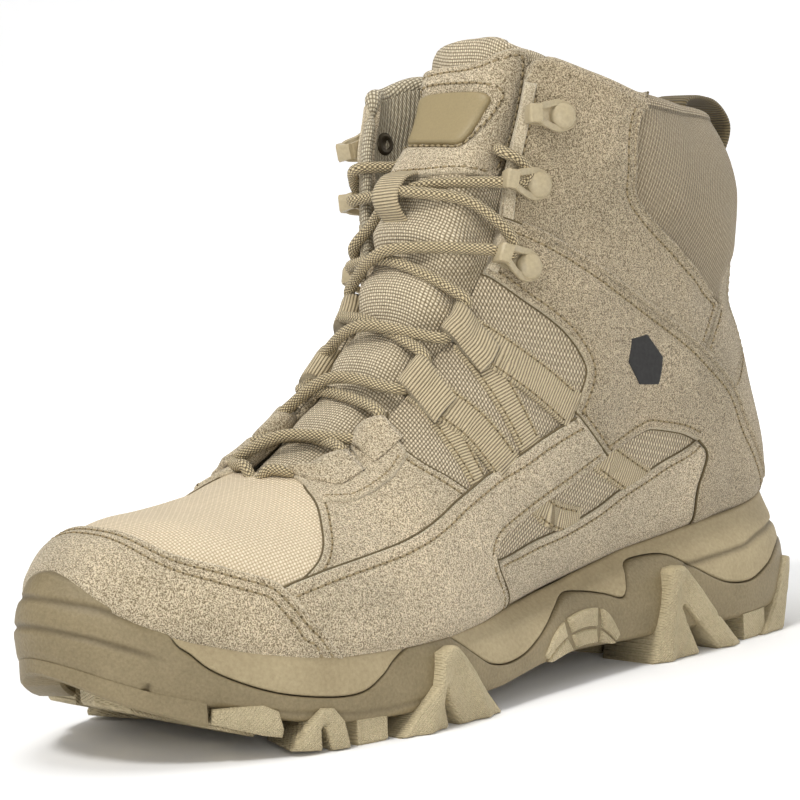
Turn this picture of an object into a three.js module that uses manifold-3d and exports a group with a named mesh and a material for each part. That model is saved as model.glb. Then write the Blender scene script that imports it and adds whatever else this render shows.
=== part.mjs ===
// A lace-up combat boot for the left foot, standing on its sole. Millimetres, +Z up, toe towards -Y,
// outer side towards +X. Lengths along the foot are given as "fwd", the distance forward of the heel.
import * as THREE from 'three';
import { mergeVertices } from 'three/addons/utils/BufferGeometryUtils.js';
import Module from 'manifold-3d';

const wasm = await Module();
wasm.setup();

// ---- driving dimensions -------------------------------------------------------------------------
const originFwd = 133.55; // the frame's origin is this far forward of the heel
const originX = 2.25; // and this far outward of the last's middle line
const gap = 0.3; // between neighbouring pieces
const laceDiameter = 4.2;
const tongueThickness = 6;
const insoleThickness = 4;
const liningMargin = 8; // width of the upper's turned-in edge under the foot
const hookWidth = 8;
const padding = 9; // a cutting solid reaches this far past the upper's surface
const beyond = 90; // sideways reach of a solid that cuts right through the boot
const flapSpread = { x: 1.3, fwd: 0.85, z: 0.2 }; // how the inner front flap stands open
const tongueUnder = 4.1; // the tongue's edges lie this far under the upper's surface
const tongueCrown = 2.2; // and its middle bulges this far above it
const onTop = 0.6; // overlays start this far above the surface they lie on
const ledge = 0.8; // and fittings on the tongue this far above the tongue

const colours = {
  suede: 0xb4a17c, nylon: 0xa8946d, webbing: 0xb39c70, lace: 0xb8a27a,
  midsole: 0xa8966c, outsole: 0x9c8b62, metal: 0xa99c80, lining: 0x8f7d5c,
};

const table = (columns, rows) => rows.map(
  (row) => Object.fromEntries(row.map((value, i) => [columns[i], value])));

// Sections of the upper from the toe, under the foot, round the heel and up to above the collar.
// Each one stands in the plane through its low (back) point and its high (front) point.
const sections = table(
  ['lowFwd', 'lowZ', 'highFwd', 'highZ', 'outerHalf', 'innerHalf', 'lowX', 'highX', 'belly',
    'lowCurve', 'outerCurve', 'innerCurve', 'wall', 'collarPad', 'flare'],
  [
    [268, 39, 269.5, 46, 3, 3, -4, -4, 0.45, 2.4, 2.2, 2.2, 2.6, 0, 0],
    [266.5, 35.5, 268, 50.5, 12, 11, -4, -4, 0.45, 2.5, 2.2, 2.2, 2.6, 0, 0],
    [263, 32.5, 264, 55, 20, 17, -4, -4, 0.42, 2.7, 2.3, 2.3, 2.6, 0, 0],
    [256, 29.5, 257.5, 59.5, 28, 23, -3, -4, 0.40, 3.0, 2.4, 2.3, 2.6, 0, 0],
    [245, 25, 244, 62.5, 36, 30.5, -2, -4, 0.36, 3.2, 2.45, 2.3, 2.6, 0, 0],
    [231, 20.5, 228, 63.5, 43, 37.5, -1, -4, 0.33, 3.4, 2.4, 2.3, 2.4, 0, 0],
    [214, 17, 210, 65.5, 48, 42.5, 0, -4, 0.30, 3.4, 2.3, 2.2, 2.4, 0, 0],
    [196, 15, 191, 70.5, 50, 44.5, 0, -4, 0.28, 3.4, 2.15, 2.1, 2.4, 0, 0],
    [178, 15, 174, 79.5, 49, 42.5, 1, -3, 0.27, 3.3, 2.1, 2.1, 2.6, 0, 0],
    [158, 17.5, 159, 92.5, 46, 39, 1, -2, 0.27, 3.2, 2.1, 2.1, 2.8, 0, 0],
    [137, 21.5, 147, 106, 42.5, 35.5, 1, -1.5, 0.28, 3.0, 2.1, 2.15, 3, 0, 0],
    [110, 25, 139.5, 117, 40, 33.5, 1, -1, 0.32, 2.8, 2.15, 2.3, 3, 0, 1.5],
    [80, 26, 135, 126, 38, 33.5, 1, -1, 0.36, 2.6, 2.2, 2.5, 3, 0, 4],
    [45, 25.5, 131, 134, 37.5, 34, 0.5, -0.5, 0.40, 2.5, 2.25, 2.8, 3, 0.5, 6.5],
    [12, 27, 128, 141, 37, 35, 0, 0, 0.43, 2.3, 2.3, 3.1, 3, 1, 8.5],
    [-6, 42, 125, 148, 36.5, 35.5, 0, 0, 0.45, 2.2, 2.35, 3.4, 3, 1.5, 9.5],
    [-1, 72, 121, 156, 36, 36, 0, 0, 0.46, 2.1, 2.4, 3.6, 3, 2, 10],
    [6, 98, 117, 164, 36.5, 37, 0, 0, 0.46, 2.05, 2.4, 3.8, 3, 3, 10],
    [7, 124, 113, 174, 38, 38, 0, 0, 0.46, 2.0, 2.4, 3.8, 3, 4, 9.5],
    [5, 166, 108, 189, 39, 38.5, 0, 0, 0.46, 2.0, 2.4, 3.8, 3, 4, 9],
    [3, 190, 103, 213, 39.5, 39, 0, 0, 0.46, 2.0, 2.4, 3.8, 3, 4, 9],
  ]);
const toeEnd = 0;
const collarEnd = sections.length - 1;

// Edges of the throat, as angles round the section: 1 is its top middle, 0 its low middle.
const throatEdges = table(
  ['section', 'outer', 'inner'],
  [
    [6.9, 0.95, 0.95], [7.2, 0.88, 0.88], [8, 0.87, 0.865], [9.4, 0.845, 0.845], [11, 0.81, 0.825],
    [12.7, 0.81, 0.83], [14, 0.815, 0.84], [16, 0.82, 0.85], [19, 0.82, 0.85], [20, 0.82, 0.85],
  ]);

// Outline of the sole from above, outer side and inner side, from the heel to the toe.
const soleOutline = table(
  ['outerX', 'outerFwd', 'innerX', 'innerFwd'],
  [
    [0, -7, 0, -7], [20, -4, -18, -4], [33, 7, -31, 7], [39.5, 25, -36.5, 25], [41, 50, -36, 50],
    [41, 80, -32.5, 80], [42, 105, -32, 110], [45.5, 130, -36.5, 138], [50, 155, -44, 165],
    [52.5, 180, -48, 192], [51, 205, -47, 215], [46, 225, -41, 238], [37, 245, -32, 256],
    [27, 260.5, -22.5, 268.5], [14.5, 271.3, -13, 275.3], [-1, 277, -1, 277],
  ]);

// Heights of the sole along the foot: lowest tread, slab underneath, core under the foot, cup rim and
// how far the rim leans in from the outline.
const soleHeights = table(
  ['fwd', 'tread', 'slab', 'core', 'rim', 'lean'],
  [
    [-8, 9, 12, 20, 44, 1.5], [0, 4, 9, 16, 42, 1.5], [8, 0, 7.5, 14, 41, 1.4], [40, 0, 7, 14, 39, 1.2],
    [80, 0, 8, 15, 35, 1], [110, 0, 9.5, 17, 29.5, 1], [130, 0, 8.5, 15.5, 27, 1],
    [150, 0, 6, 11.5, 25.2, 1], [172, 0, 5.5, 9.5, 24.5, 1], [190, 0, 5.5, 9.5, 24.5, 1],
    [212, 0, 6.5, 10.5, 25.5, 1.1], [227, 3, 9, 13.5, 28, 1.4], [240, 7.5, 12.5, 17, 31, 1.8],
    [252, 11.5, 16.5, 21.5, 34.5, 2.4], [262, 15.5, 20, 26, 40, 3], [270, 19.5, 24, 32, 47, 3.4],
    [278, 26, 29, 38, 54, 3.6],
  ]);

// The seam between outsole and midsole, seen from the side: a wave over each pair of claws.
const seamLine = [
  [-30, 30], [5, 27], [20, 21.4], [30, 18.5], [40, 19.2], [48, 22], [58, 27.5], [66, 31.5], [76, 32.2],
  [83, 31], [86, 26], [89.5, 22], [97, 24.3], [105, 26.2], [112, 26.4], [122, 22], [131, 17.4],
  [140, 13.8], [149, 12.8], [157, 14.3], [163, 18], [169, 22.6], [176, 26.5], [185, 26.5], [195, 22],
  [200, 18.3], [207, 14.8], [217, 14.8], [232, 18], [245, 24], [252, 30], [258, 40], [262, 80], [330, 80],
];

// Claws on the sole's edge, seen from the side: foot spans, slot between them and the apex.
const claws = table(
  ['backFwd', 'slotBack', 'slotFront', 'frontFwd', 'apexFwd', 'apexZ', 'slotFwd', 'slotZ', 'proud'],
  [
    [38, 50, 58, 79, 70, 28, 65, 17, 2.4],
    [155, 174, 178, 196, 176, 22, 179, 12, 2.4],
    [212, 218, 220.5, 229, 219, 12.5, 219.5, 8, 1.4],
  ]);

// Cleats under the sole, seen from above.
const cleats = table(
  ['backFwd', 'frontFwd', 'fromX', 'toX', 'sweep'],
  [
    [2, 15, -22, 22, 0], [22, 34, 22, 60, 0], [22, 34, -60, -20, 0], [22, 34, -13, 15, 3],
    [42, 54, -14, 16, 3], [62, 74, -12, 16, 3], [40, 54, -60, -22, 0], [62, 78, -60, -20, 0],
    [154, 164, -16, 20, 4], [172, 182, -18, 22, 4], [190, 200, -18, 22, 4], [208, 218, -17, 21, 4],
    [226, 236, -15, 18, 4], [158, 174, -60, -26, 0], [180, 194, -60, -28, 0], [200, 212, -60, -28, 0],
    [218, 232, -60, -26, 0], [199, 209, 31, 60, 0], [232, 246, 26, 60, 0], [238, 250, -60, -22, 0],
    [244, 262, -14, 12, 4], [251, 276, 19, 60, 0], [256, 276, -60, -21, 0],
  ]);

// ---- small helpers ------------------------------------------------------------------------------
const point = (x, fwd, z) => new THREE.Vector3(x - originX, originFwd - fwd, z);
const clamp = (value, low, high) => Math.min(Math.max(value, low), high);
const ramp = (value, from, to) => {
  const t = clamp((value - from) / (to - from), 0, 1);
  return t * t * (3 - 2 * t);
};

// Smooth value of every column at a fractional row.
function smoothRow(rows, at) {
  const i = clamp(Math.floor(at), 0, rows.length - 2);
  const t = clamp(at, 0, rows.length - 1) - i;
  const row = (k) => rows[clamp(k, 0, rows.length - 1)];
  const value = (key) => {
    const [a, b, c, d] = [row(i - 1)[key], row(i)[key], row(i + 1)[key], row(i + 2)[key]];
    return b + 0.5 * t * (c - a + t * (2 * a - 5 * b + 4 * c - d + t * (3 * (b - c) + d - a)));
  };
  return Object.fromEntries(Object.keys(rows[0]).map((key) => [key, value(key)]));
}

// Value of one column at a place between rows, in a straight line.
function lookUp(rows, byKey, at, key) {
  const i = clamp(rows.findIndex((row) => row[byKey] > at) - 1, 0, rows.length - 2);
  const index = at >= rows.at(-1)[byKey] ? rows.length - 2 : i;
  const [low, high] = [rows[index], rows[index + 1]];
  const t = clamp((at - low[byKey]) / (high[byKey] - low[byKey]), 0, 1);
  return low[key] + (high[key] - low[key]) * t;
}

// ---- closed solids ------------------------------------------------------------------------------
function solidFrom(points, triangles) {
  let volume = 0;
  for (const [a, b, c] of triangles) {
    volume += points[a].dot(new THREE.Vector3().crossVectors(points[b], points[c]));
  }
  const faces = volume < 0 ? triangles.map(([a, b, c]) => [a, c, b]) : triangles;
  return new wasm.Manifold(new wasm.Mesh({
    numProp: 3,
    vertProperties: new Float32Array(points.flatMap((p) => [p.x, p.y, p.z])),
    triVerts: new Uint32Array(faces.flat()),
  }));
}

function solidFromGeometry(geometry) {
  geometry.deleteAttribute('normal');
  geometry.deleteAttribute('uv');
  const merged = mergeVertices(geometry, 1e-4);
  const positions = merged.getAttribute('position');
  const points = [...Array(positions.count).keys()].map(
    (i) => new THREE.Vector3().fromBufferAttribute(positions, i));
  const index = merged.index.array;
  const triangles = [];
  for (let i = 0; i < index.length; i += 3) {
    triangles.push([index[i], index[i + 1], index[i + 2]]);
  }
  return solidFrom(points, triangles);
}

function meshFrom(name, solid, colour, roughness = 0.85, metalness = 0) {
  const { vertProperties, triVerts } = solid.getMesh();
  const geometry = new THREE.BufferGeometry();
  geometry.setAttribute('position', new THREE.BufferAttribute(new Float32Array(vertProperties), 3));
  geometry.setIndex(new THREE.BufferAttribute(new Uint32Array(triVerts), 1));
  geometry.computeVertexNormals();
  const material = new THREE.MeshStandardMaterial({ color: colour, roughness, metalness });
  const mesh = new THREE.Mesh(geometry, material);
  mesh.name = name;
  return mesh;
}

// A solid through rings of equal point counts; each end is closed by a fan from its middle.
function loftRings(rings) {
  const count = rings[0].length;
  const points = rings.flat();
  const triangles = [];
  for (let r = 0; r < rings.length - 1; r += 1) {
    for (let i = 0; i < count; i += 1) {
      const [a, b] = [r * count + i, r * count + ((i + 1) % count)];
      triangles.push([a, b, b + count], [a, b + count, a + count]);
    }
  }
  for (const [ring, flip] of [[0, true], [rings.length - 1, false]]) {
    const middle = points.length;
    const centre = rings[ring].reduce((sum, p) => sum.add(p), new THREE.Vector3());
    points.push(centre.divideScalar(count));
    for (let i = 0; i < count; i += 1) {
      const [a, b] = [ring * count + i, ring * count + ((i + 1) % count)];
      triangles.push(flip ? [middle, b, a] : [middle, a, b]);
    }
  }
  return solidFrom(points, triangles);
}

// A solid between two grids of the same size, closed by walls round their edges.
function slabBetween(outside, inside) {
  const [rows, columns] = [outside.length, outside[0].length];
  const points = [...outside.flat(), ...inside.flat()];
  const at = (layer, r, c) => layer * rows * columns + r * columns + c;
  const triangles = [];
  const quad = (a, b, c, d) => triangles.push([a, b, c], [a, c, d]);
  for (let r = 0; r < rows - 1; r += 1) {
    for (let c = 0; c < columns - 1; c += 1) {
      quad(at(0, r, c), at(0, r + 1, c), at(0, r + 1, c + 1), at(0, r, c + 1));
      quad(at(1, r, c), at(1, r, c + 1), at(1, r + 1, c + 1), at(1, r + 1, c));
    }
    quad(at(0, r, 0), at(1, r, 0), at(1, r + 1, 0), at(0, r + 1, 0));
    const last = columns - 1;
    quad(at(0, r, last), at(0, r + 1, last), at(1, r + 1, last), at(1, r, last));
  }
  for (let c = 0; c < columns - 1; c += 1) {
    quad(at(0, 0, c), at(0, 0, c + 1), at(1, 0, c + 1), at(1, 0, c));
    quad(at(0, rows - 1, c), at(1, rows - 1, c), at(1, rows - 1, c + 1), at(0, rows - 1, c + 1));
  }
  return solidFrom(points, triangles);
}

// A side view outline of [fwd, z] points, pushed through from one x to another.
function pushAcross(outline, fromX, toX) {
  const shape = new THREE.Shape(outline.map(([fwd, z]) => new THREE.Vector2(fwd, z)));
  const geometry = new THREE.ExtrudeGeometry(shape, { depth: toX - fromX, bevelEnabled: false });
  const turn = new THREE.Matrix4().makeBasis(
    new THREE.Vector3(0, -1, 0), new THREE.Vector3(0, 0, 1), new THREE.Vector3(-1, 0, 0));
  turn.setPosition(toX - originX, originFwd, 0);
  return solidFromGeometry(geometry.applyMatrix4(turn));
}

// A plan outline of [x, fwd] points, pushed up from one height to another.
function pushUp(outline, fromZ, toZ) {
  const shape = new THREE.Shape(outline.map(([x, fwd]) => new THREE.Vector2(x - originX, originFwd - fwd)));
  const geometry = new THREE.ExtrudeGeometry(shape, { depth: toZ - fromZ, bevelEnabled: false });
  return solidFromGeometry(geometry.translate(0, 0, fromZ));
}

// ---- the upper's surface ------------------------------------------------------------------------
// "around" runs from 0 at the section's low middle, over the outer side, to 1 at its top middle, and
// down the inner side to 2. The inner front flap of the shaft stands open; "open" 0 is the surface
// without that, which the tongue follows.
function surfacePoint(section, around, open = 1) {
  const g = smoothRow(sections, section);
  const onOuter = around <= 1;
  const turn = onOuter ? around : 2 - around;
  const low = turn < 0.5;
  const angle = clamp(low ? turn * 2 : turn * 2 - 1, 0, 1) * Math.PI / 2;
  const curve = low ? g.lowCurve : (onOuter ? g.outerCurve : g.innerCurve);
  const [sine, cosine] = [Math.max(Math.sin(angle), 0), Math.max(Math.cos(angle), 0)];
  const across = (low ? sine : cosine) ** (2 / curve);
  const rise = low ? g.belly * (1 - cosine ** (2 / curve)) : g.belly + (1 - g.belly) * sine ** (2 / curve);
  const half = onOuter ? g.outerHalf : -g.innerHalf;
  const lift = onOuter ? 0 : open * g.flare * ramp(turn, 0.55, 0.84) * ramp(1 - turn, 0, 0.12);
  return point(
    half * across + g.lowX + (g.highX - g.lowX) * rise - flapSpread.x * lift,
    g.lowFwd + (g.highFwd - g.lowFwd) * rise + flapSpread.fwd * lift,
    g.lowZ + (g.highZ - g.lowZ) * rise + flapSpread.z * lift);
}

function surfaceNormal(section, around, open = 1) {
  const step = 0.01;
  const [s0, s1] = [Math.max(section - step, toeEnd), Math.min(section + step, collarEnd)];
  const at = (s, a) => surfacePoint(s, (a + 2) % 2, open);
  const along = at(s1, around).sub(at(s0, around));
  const round = at(section, around + step).sub(at(section, around - step));
  return new THREE.Vector3().crossVectors(round, along).normalize().negate();
}

const raised = (section, around, height, open = 1) => surfacePoint(section, around, open)
  .addScaledVector(surfaceNormal(section, around, open), height);

const steps = (from, to, count) => [...Array(count + 1).keys()].map((i) => from + (to - from) * i / count);

function upperForm(sectionList, aroundCount, height) {
  return loftRings(sectionList.map((section) => steps(0, 2, aroundCount).slice(0, -1).map(
    (around) => raised(section, around, height(section, around)))));
}

// Wall of the upper: thin, with padding round the collar that stops short of the throat.
function wallAt(section, around) {
  const turn = around <= 1 ? around : 2 - around;
  const g = smoothRow(sections, section);
  return g.wall + g.collarPad * (1 - ramp(turn, 0.6, 0.74));
}

// A piece lying on the upper, between two sections and two angles that may change along it.
function overlay({ sectionList, from, to, columns, bottom, top, open = 1 }) {
  const grid = (height) => sectionList.map((section) => steps(from(section), to(section), columns).map(
    (around) => raised(section, around, height(section, around), open)));
  return slabBetween(grid(top), grid(bottom));
}

const throatOuter = (section) => lookUp(throatEdges, 'section', section, 'outer');
const throatInner = (section) => 2 - lookUp(throatEdges, 'section', section, 'inner');

// ---- sole ---------------------------------------------------------------------------------------
const outlineLoop = [
  ...soleOutline.map((row) => ({ x: row.outerX, fwd: row.outerFwd })),
  ...soleOutline.slice(1, -1).reverse().map((row) => ({ x: row.innerX, fwd: row.innerFwd })),
];

function outlinePoint(at) {
  const count = outlineLoop.length;
  const i = Math.floor(at);
  const t = at - i;
  const [a, b, c, d] = [-1, 0, 1, 2].map((k) => outlineLoop[(i + k + count) % count]);
  const blend = (key) => b[key] + 0.5 * t * (c[key] - a[key]
    + t * (2 * a[key] - 5 * b[key] + 4 * c[key] - d[key] + t * (3 * (b[key] - c[key]) + d[key] - a[key])));
  return { x: blend('x'), fwd: blend('fwd') };
}

// The sole's outline as a ring of points, moved in by "inset" and at height "z" (both may follow fwd).
function outlineRing(inset, z, perRow = 1) {
  const rows = outlineLoop.length;
  return [...Array(rows * perRow).keys()].map((k) => {
    const at = k / perRow;
    const here = outlinePoint(at);
    const [before, after] = [outlinePoint((at - 0.1 + rows) % rows), outlinePoint(at + 0.1)];
    const [dx, dy] = [after.x - before.x, after.fwd - before.fwd];
    const length = Math.hypot(dx, dy);
    const depth = inset(here.fwd);
    return point(here.x - depth * dy / length, here.fwd + depth * dx / length, z(here.fwd));
  });
}

// A solid through outline rings, closed at both ends by strips from side to side.
function loftOutline(rings) {
  const count = rings[0].length;
  const points = rings.flat();
  const triangles = [];
  for (let r = 0; r < rings.length - 1; r += 1) {
    for (let i = 0; i < count; i += 1) {
      const [a, b] = [r * count + i, r * count + ((i + 1) % count)];
      triangles.push([a, b, b + count], [a, b + count, a + count]);
    }
  }
  for (const [base, flip] of [[0, true], [(rings.length - 1) * count, false]]) {
    for (let i = 0; i < count / 2; i += 1) {
      const [a, b] = [base + i, base + i + 1];
      const [c, d] = [base + (count - i - 1) % count, base + (count - i) % count];
      const faces = [[a, b, c], [a, c, d]].filter((face) => new Set(face).size === 3);
      triangles.push(...faces.map(([p, q, r]) => (flip ? [p, r, q] : [p, q, r])));
    }
  }
  return solidFrom(points, triangles);
}

const soleHeight = (key, add = 0) => (fwd) => lookUp(soleHeights, 'fwd', fwd, key) + add;
const constant = (value) => () => value;

function soleBlank() {
  const [slab, rim] = [soleHeight('slab'), soleHeight('rim')];
  const between = (share) => (fwd) => slab(fwd) * (1 - share) + rim(fwd) * share;
  return loftOutline([
    outlineRing(constant(5), slab, 2),
    outlineRing(constant(0.4), between(0.15), 2),
    outlineRing((fwd) => 0.3 * soleHeight('lean')(fwd), between(0.7), 2),
    outlineRing(soleHeight('lean'), rim, 2),
  ]);
}

// What belongs to the midsole: all above the seam line, and a core under the foot.
function midsoleRegion(grow) {
  const aboveSeam = pushAcross(
    [...seamLine.map(([fwd, z]) => [fwd, z - grow]), [330, 120], [-30, 120]], -beyond, beyond);
  const rim = constant(8 - grow);
  const core = loftOutline([
    outlineRing(rim, soleHeight('core', -grow)),
    outlineRing(rim, constant(90)),
  ]);
  return aboveSeam.add(core);
}

function clawSolid(claw) {
  const { backFwd, slotBack, slotFront, frontFwd, apexFwd, apexZ, slotFwd, slotZ } = claw;
  const floor = -1;
  const side = pushAcross([
    [backFwd, floor], [apexFwd - 5, apexZ - 1.5], [apexFwd, apexZ], [apexFwd + 4, apexZ - 1],
    [frontFwd, floor], [slotFront, floor], [slotFwd, slotZ], [slotBack, floor],
  ], -beyond, beyond);
  const rim = claw.proud;
  const band = loftOutline([
    outlineRing(constant(-rim * 0.4), soleHeight('tread')),
    outlineRing(constant(-rim), soleHeight('tread', 3)),
    outlineRing(constant(-rim * 0.6), soleHeight('tread', apexZ * 0.8)),
    outlineRing(constant(0.4), soleHeight('tread', apexZ + 1)),
  ]);
  const middle = pushAcross([[-40, -5], [320, -5], [320, 60], [-40, 60]], -20, 24);
  return side.intersect(band).subtract(middle);
}

function cleatSolid({ backFwd, frontFwd, fromX, toX, sweep }) {
  const outline = [[fromX, backFwd], [toX, backFwd], [toX, frontFwd], [fromX, frontFwd]];
  if (sweep) {
    outline.splice(1, 0, [(fromX + toX) / 2, backFwd + sweep]);
    outline.splice(4, 0, [(fromX + toX) / 2, frontFwd + sweep]);
  }
  return pushUp(outline, -1, 40);
}

const upperOutside = (extra) => upperForm(steps(toeEnd, collarEnd - 4, 24), 28, constant(extra));

// The main body of a cut solid, without the slivers that a cut may leave.
const mainBody = (solid) => solid.decompose().sort((a, b) => b.volume() - a.volume())[0];

function makeSole() {
  const blank = soleBlank().subtract(upperOutside(gap));
  const midsole = mainBody(blank.intersect(midsoleRegion(0)));
  const slab = blank.subtract(midsoleRegion(gap));
  const treadBand = loftOutline([
    outlineRing(constant(2.5), soleHeight('tread')),
    outlineRing(constant(1), soleHeight('slab', 1.2)),
  ]);
  const tread = cleats.map((cleat) => treadBand.intersect(cleatSolid(cleat)));
  const tail = pushAcross([[6, 6], [-4.5, 9], [-9.5, 17], [-9.5, 26], [-7, 27], [2, 20]], -18, 18);
  const lugs = [...tread, ...claws.map(clawSolid), tail].reduce((sum, piece) => sum.add(piece));
  const outsole = slab.add(lugs.subtract(upperOutside(gap)).subtract(midsoleRegion(gap)));
  return { outsole, midsole };
}

// ---- upper, insole and tongue -------------------------------------------------------------------
const collarLine = [
  [-40, 165], [4, 165], [20, 166], [50, 169], [71, 172.5], [88, 180], [102, 187], [140, 187],
];

// The hollow of the upper, drawn in by "extra" for what lies inside it.
const insideSections = steps(1.4, collarEnd, 20);
const upperInside = (list, extra) => upperForm(
  list, 22, (section, around) => -wallAt(section, around) - extra);

function makeUpper() {
  const outside = upperForm(steps(toeEnd, collarEnd, 30), 28, constant(0));
  const inside = upperInside(insideSections, 0);
  const aboveCollar = pushAcross([...collarLine, [140, 260], [-40, 260]], -beyond, beyond);
  const throat = overlay({
    sectionList: steps(6.9, collarEnd, 15), from: throatOuter, to: throatInner, columns: 4,
    bottom: constant(-padding), top: constant(padding),
  });
  const underneath = loftOutline([
    outlineRing(constant(liningMargin + 4), constant(-5)),
    outlineRing(constant(liningMargin + 4), soleHeight('core', 14)),
  ]);
  return outside.subtract(inside).subtract(aboveCollar).subtract(throat).subtract(underneath);
}

function makeInsole() {
  const inside = upperInside(insideSections.filter((section) => section < 16), gap);
  const footbed = sections.slice(2, 15).map((row) => [row.lowFwd, row.lowZ + row.wall + insoleThickness]);
  const below = pushAcross([[-20, 33.5], [-20, -5], [300, -5], [300, 45], ...footbed], -beyond, beyond);
  return inside.intersect(below);
}

// The tongue runs under the throat edges and bulges up between them.
function tongueTop(section, around) {
  const fromEdge = Math.min(around - throatOuter(section), throatInner(section) - around);
  const crown = tongueCrown * ramp(section, 8, 12);
  return (crown + tongueUnder) * ramp(fromEdge, 0.01, 0.1) - tongueUnder;
}

function makeTongue() {
  const tuckOuter = (section) => 0.05 + 0.035 * ramp(section, 8, 12);
  const tuckInner = (section) => 0.05 * (1 - ramp(section, 10.5, 13.5));
  return overlay({
    open: 0,
    sectionList: [...steps(7.35, 11, 6), ...steps(11.8, 19.2, 8)],
    from: (section) => throatOuter(section) - tuckOuter(section),
    to: (section) => throatInner(section) + tuckInner(section),
    columns: 11,
    bottom: (section, around) => tongueTop(section, around) - tongueThickness,
    top: tongueTop,
  });
}

// ---- fastenings ---------------------------------------------------------------------------------
const strip = (section, half, from, to, thickness) => overlay({
  sectionList: steps(section - half, section + half, 3), from: constant(from), to: constant(to), columns: 3,
  bottom: constant(onTop), top: constant(onTop + thickness),
});

// Lace holders up the throat: section on the outer and the inner side, kind and half length.
const laceHolders = table(
  ['name', 'outerAt', 'innerAt', 'half', 'reach', 'thickness'],
  [
    ['lace_tab_low', 7.35, 7.5, 0.32, 0.085, 2.2],
    ['lace_tab_high', 8.3, 8.35, 0.28, 0.085, 2.2],
    ['webbing_loop_low', 9.55, 9.6, 0.33, 0.07, 3],
    ['webbing_loop_high', 11.05, 11.1, 0.42, 0.07, 3],
  ]);
const hookSections = table(['outerAt', 'innerAt'], [[13.8, 13.9], [16.15, 16.15], [18.05, 18.1]]);

function makeHolders() {
  return laceHolders.flatMap(({ name, outerAt, innerAt, half, reach, thickness }) => {
    const outerEdge = throatOuter(outerAt);
    const innerEdge = throatInner(innerAt);
    const edge = 0.012;
    return [
      [`${name}_outer`, strip(outerAt, half, outerEdge - reach, outerEdge - edge, thickness)],
      [`${name}_inner`, strip(innerAt, half, innerEdge + edge, innerEdge + reach, thickness)],
    ];
  });
}

// A speed hook's side view: a riveted plate whose front end curls up and back over the lace.
const hookOutline = [
  [-7, 0], [8, 0], [10.5, 1.6], [11.2, 4.2], [10, 6.6], [7.4, 7.6], [2.5, 7.2], [2.5, 6], [7.2, 6.3],
  [9, 5.6], [9.8, 4.1], [9.3, 2.4], [7.6, 1.3], [-7, 1.3],
];
const hookInset = 0.062; // from the throat edge to the rivet, as an angle

function hookSolid(section, around, towards) {
  const shape = new THREE.Shape(hookOutline.map(([u, v]) => new THREE.Vector2(u, v)));
  const geometry = new THREE.ExtrudeGeometry(shape, { depth: hookWidth, bevelEnabled: false });
  geometry.translate(0, 0, -hookWidth / 2);
  const normal = surfaceNormal(section, around);
  const ahead = surfacePoint(section, around + towards * 0.02).sub(surfacePoint(section, around));
  ahead.addScaledVector(normal, -ahead.dot(normal)).normalize();
  const along = new THREE.Vector3().crossVectors(ahead, normal);
  const basis = new THREE.Matrix4().makeBasis(ahead, normal, along);
  basis.setPosition(raised(section, around, ledge));
  return solidFromGeometry(geometry.applyMatrix4(basis));
}

// ---- laces --------------------------------------------------------------------------------------
// A strand from one place on the surface to another, with its middle line at a height that may vary.
function strand(start, end, height) {
  const path = new THREE.CatmullRomCurve3(steps(0, 1, 9).map((t) => raised(
    start[0] + (end[0] - start[0]) * t, start[1] + (end[1] - start[1]) * t, height(t))));
  const circle = new THREE.Shape();
  const sides = 8;
  for (let i = 0; i < sides; i += 1) {
    const angle = i / sides * Math.PI * 2;
    const [x, y] = [Math.cos(angle) * laceDiameter / 2, Math.sin(angle) * laceDiameter / 2];
    if (i) circle.lineTo(x, y); else circle.moveTo(x, y);
  }
  const options = { steps: 6, extrudePath: path, curveSegments: 1 };
  return solidFromGeometry(new THREE.ExtrudeGeometry(circle, options));
}

// Crossings of the lace up the throat: the section of each end, on the two sides.
const crossings = table(
  ['name', 'outerLow', 'outerHigh', 'innerLow', 'innerHigh', 'lift'],
  [
    ['lace_crossing_1', 7.7, 8.2, 7.8, 8.3, 0.8],
    ['lace_crossing_2', 8.7, 9.4, 8.8, 9.4, 0.8],
    ['lace_crossing_3', 10.0, 10.8, 10.0, 10.8, 1.6],
    ['lace_crossing_4', 11.7, 13.3, 11.7, 13.3, 3],
    ['lace_crossing_5', 14.3, 15.7, 14.3, 15.7, 3],
  ]);

function makeLaces() {
  const inset = 0.035;
  const outer = (section) => [section, throatOuter(section) + inset];
  const inner = (section) => [section, throatInner(section) - inset];
  const radius = laceDiameter / 2;
  const bar = strand(outer(7.2), inner(7.25), constant(radius + ledge));
  const pieces = crossings.map(({ name, outerLow, outerHigh, innerLow, innerHigh, lift }) => {
    const height = radius + lift;
    const arched = (t) => height + 1.2 * Math.sin(Math.PI * t);
    const under = strand(inner(innerLow), outer(outerHigh), constant(height));
    return [name, under.add(strand(outer(outerLow), inner(innerHigh), arched))];
  });
  return [['lace_bar', bar], ...pieces];
}

// ---- pull loop and tongue fittings --------------------------------------------------------------
function makePullLoop() {
  const halfWidth = 7;
  return pushAcross([
    [3, 146], [-4, 151], [-7.5, 158], [-5, 165], [1, 169.5], [9, 170.5], [15, 168.5], [16.5, 158],
    [14.8, 158], [13.4, 167.2], [9, 168.8], [2, 167.8], [-3.2, 163.8], [-5.4, 158], [-2.4, 152.4],
    [4.2, 148],
  ], -halfWidth, halfWidth);
}

const onTongue = (sectionList, from, to, lift, thickness, columns = 4) => overlay({
  open: 0,
  sectionList, from: constant(from), to: constant(to), columns,
  bottom: (section, around) => tongueTop(section, around) + lift,
  top: (section, around) => tongueTop(section, around) + lift + thickness,
});

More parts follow.
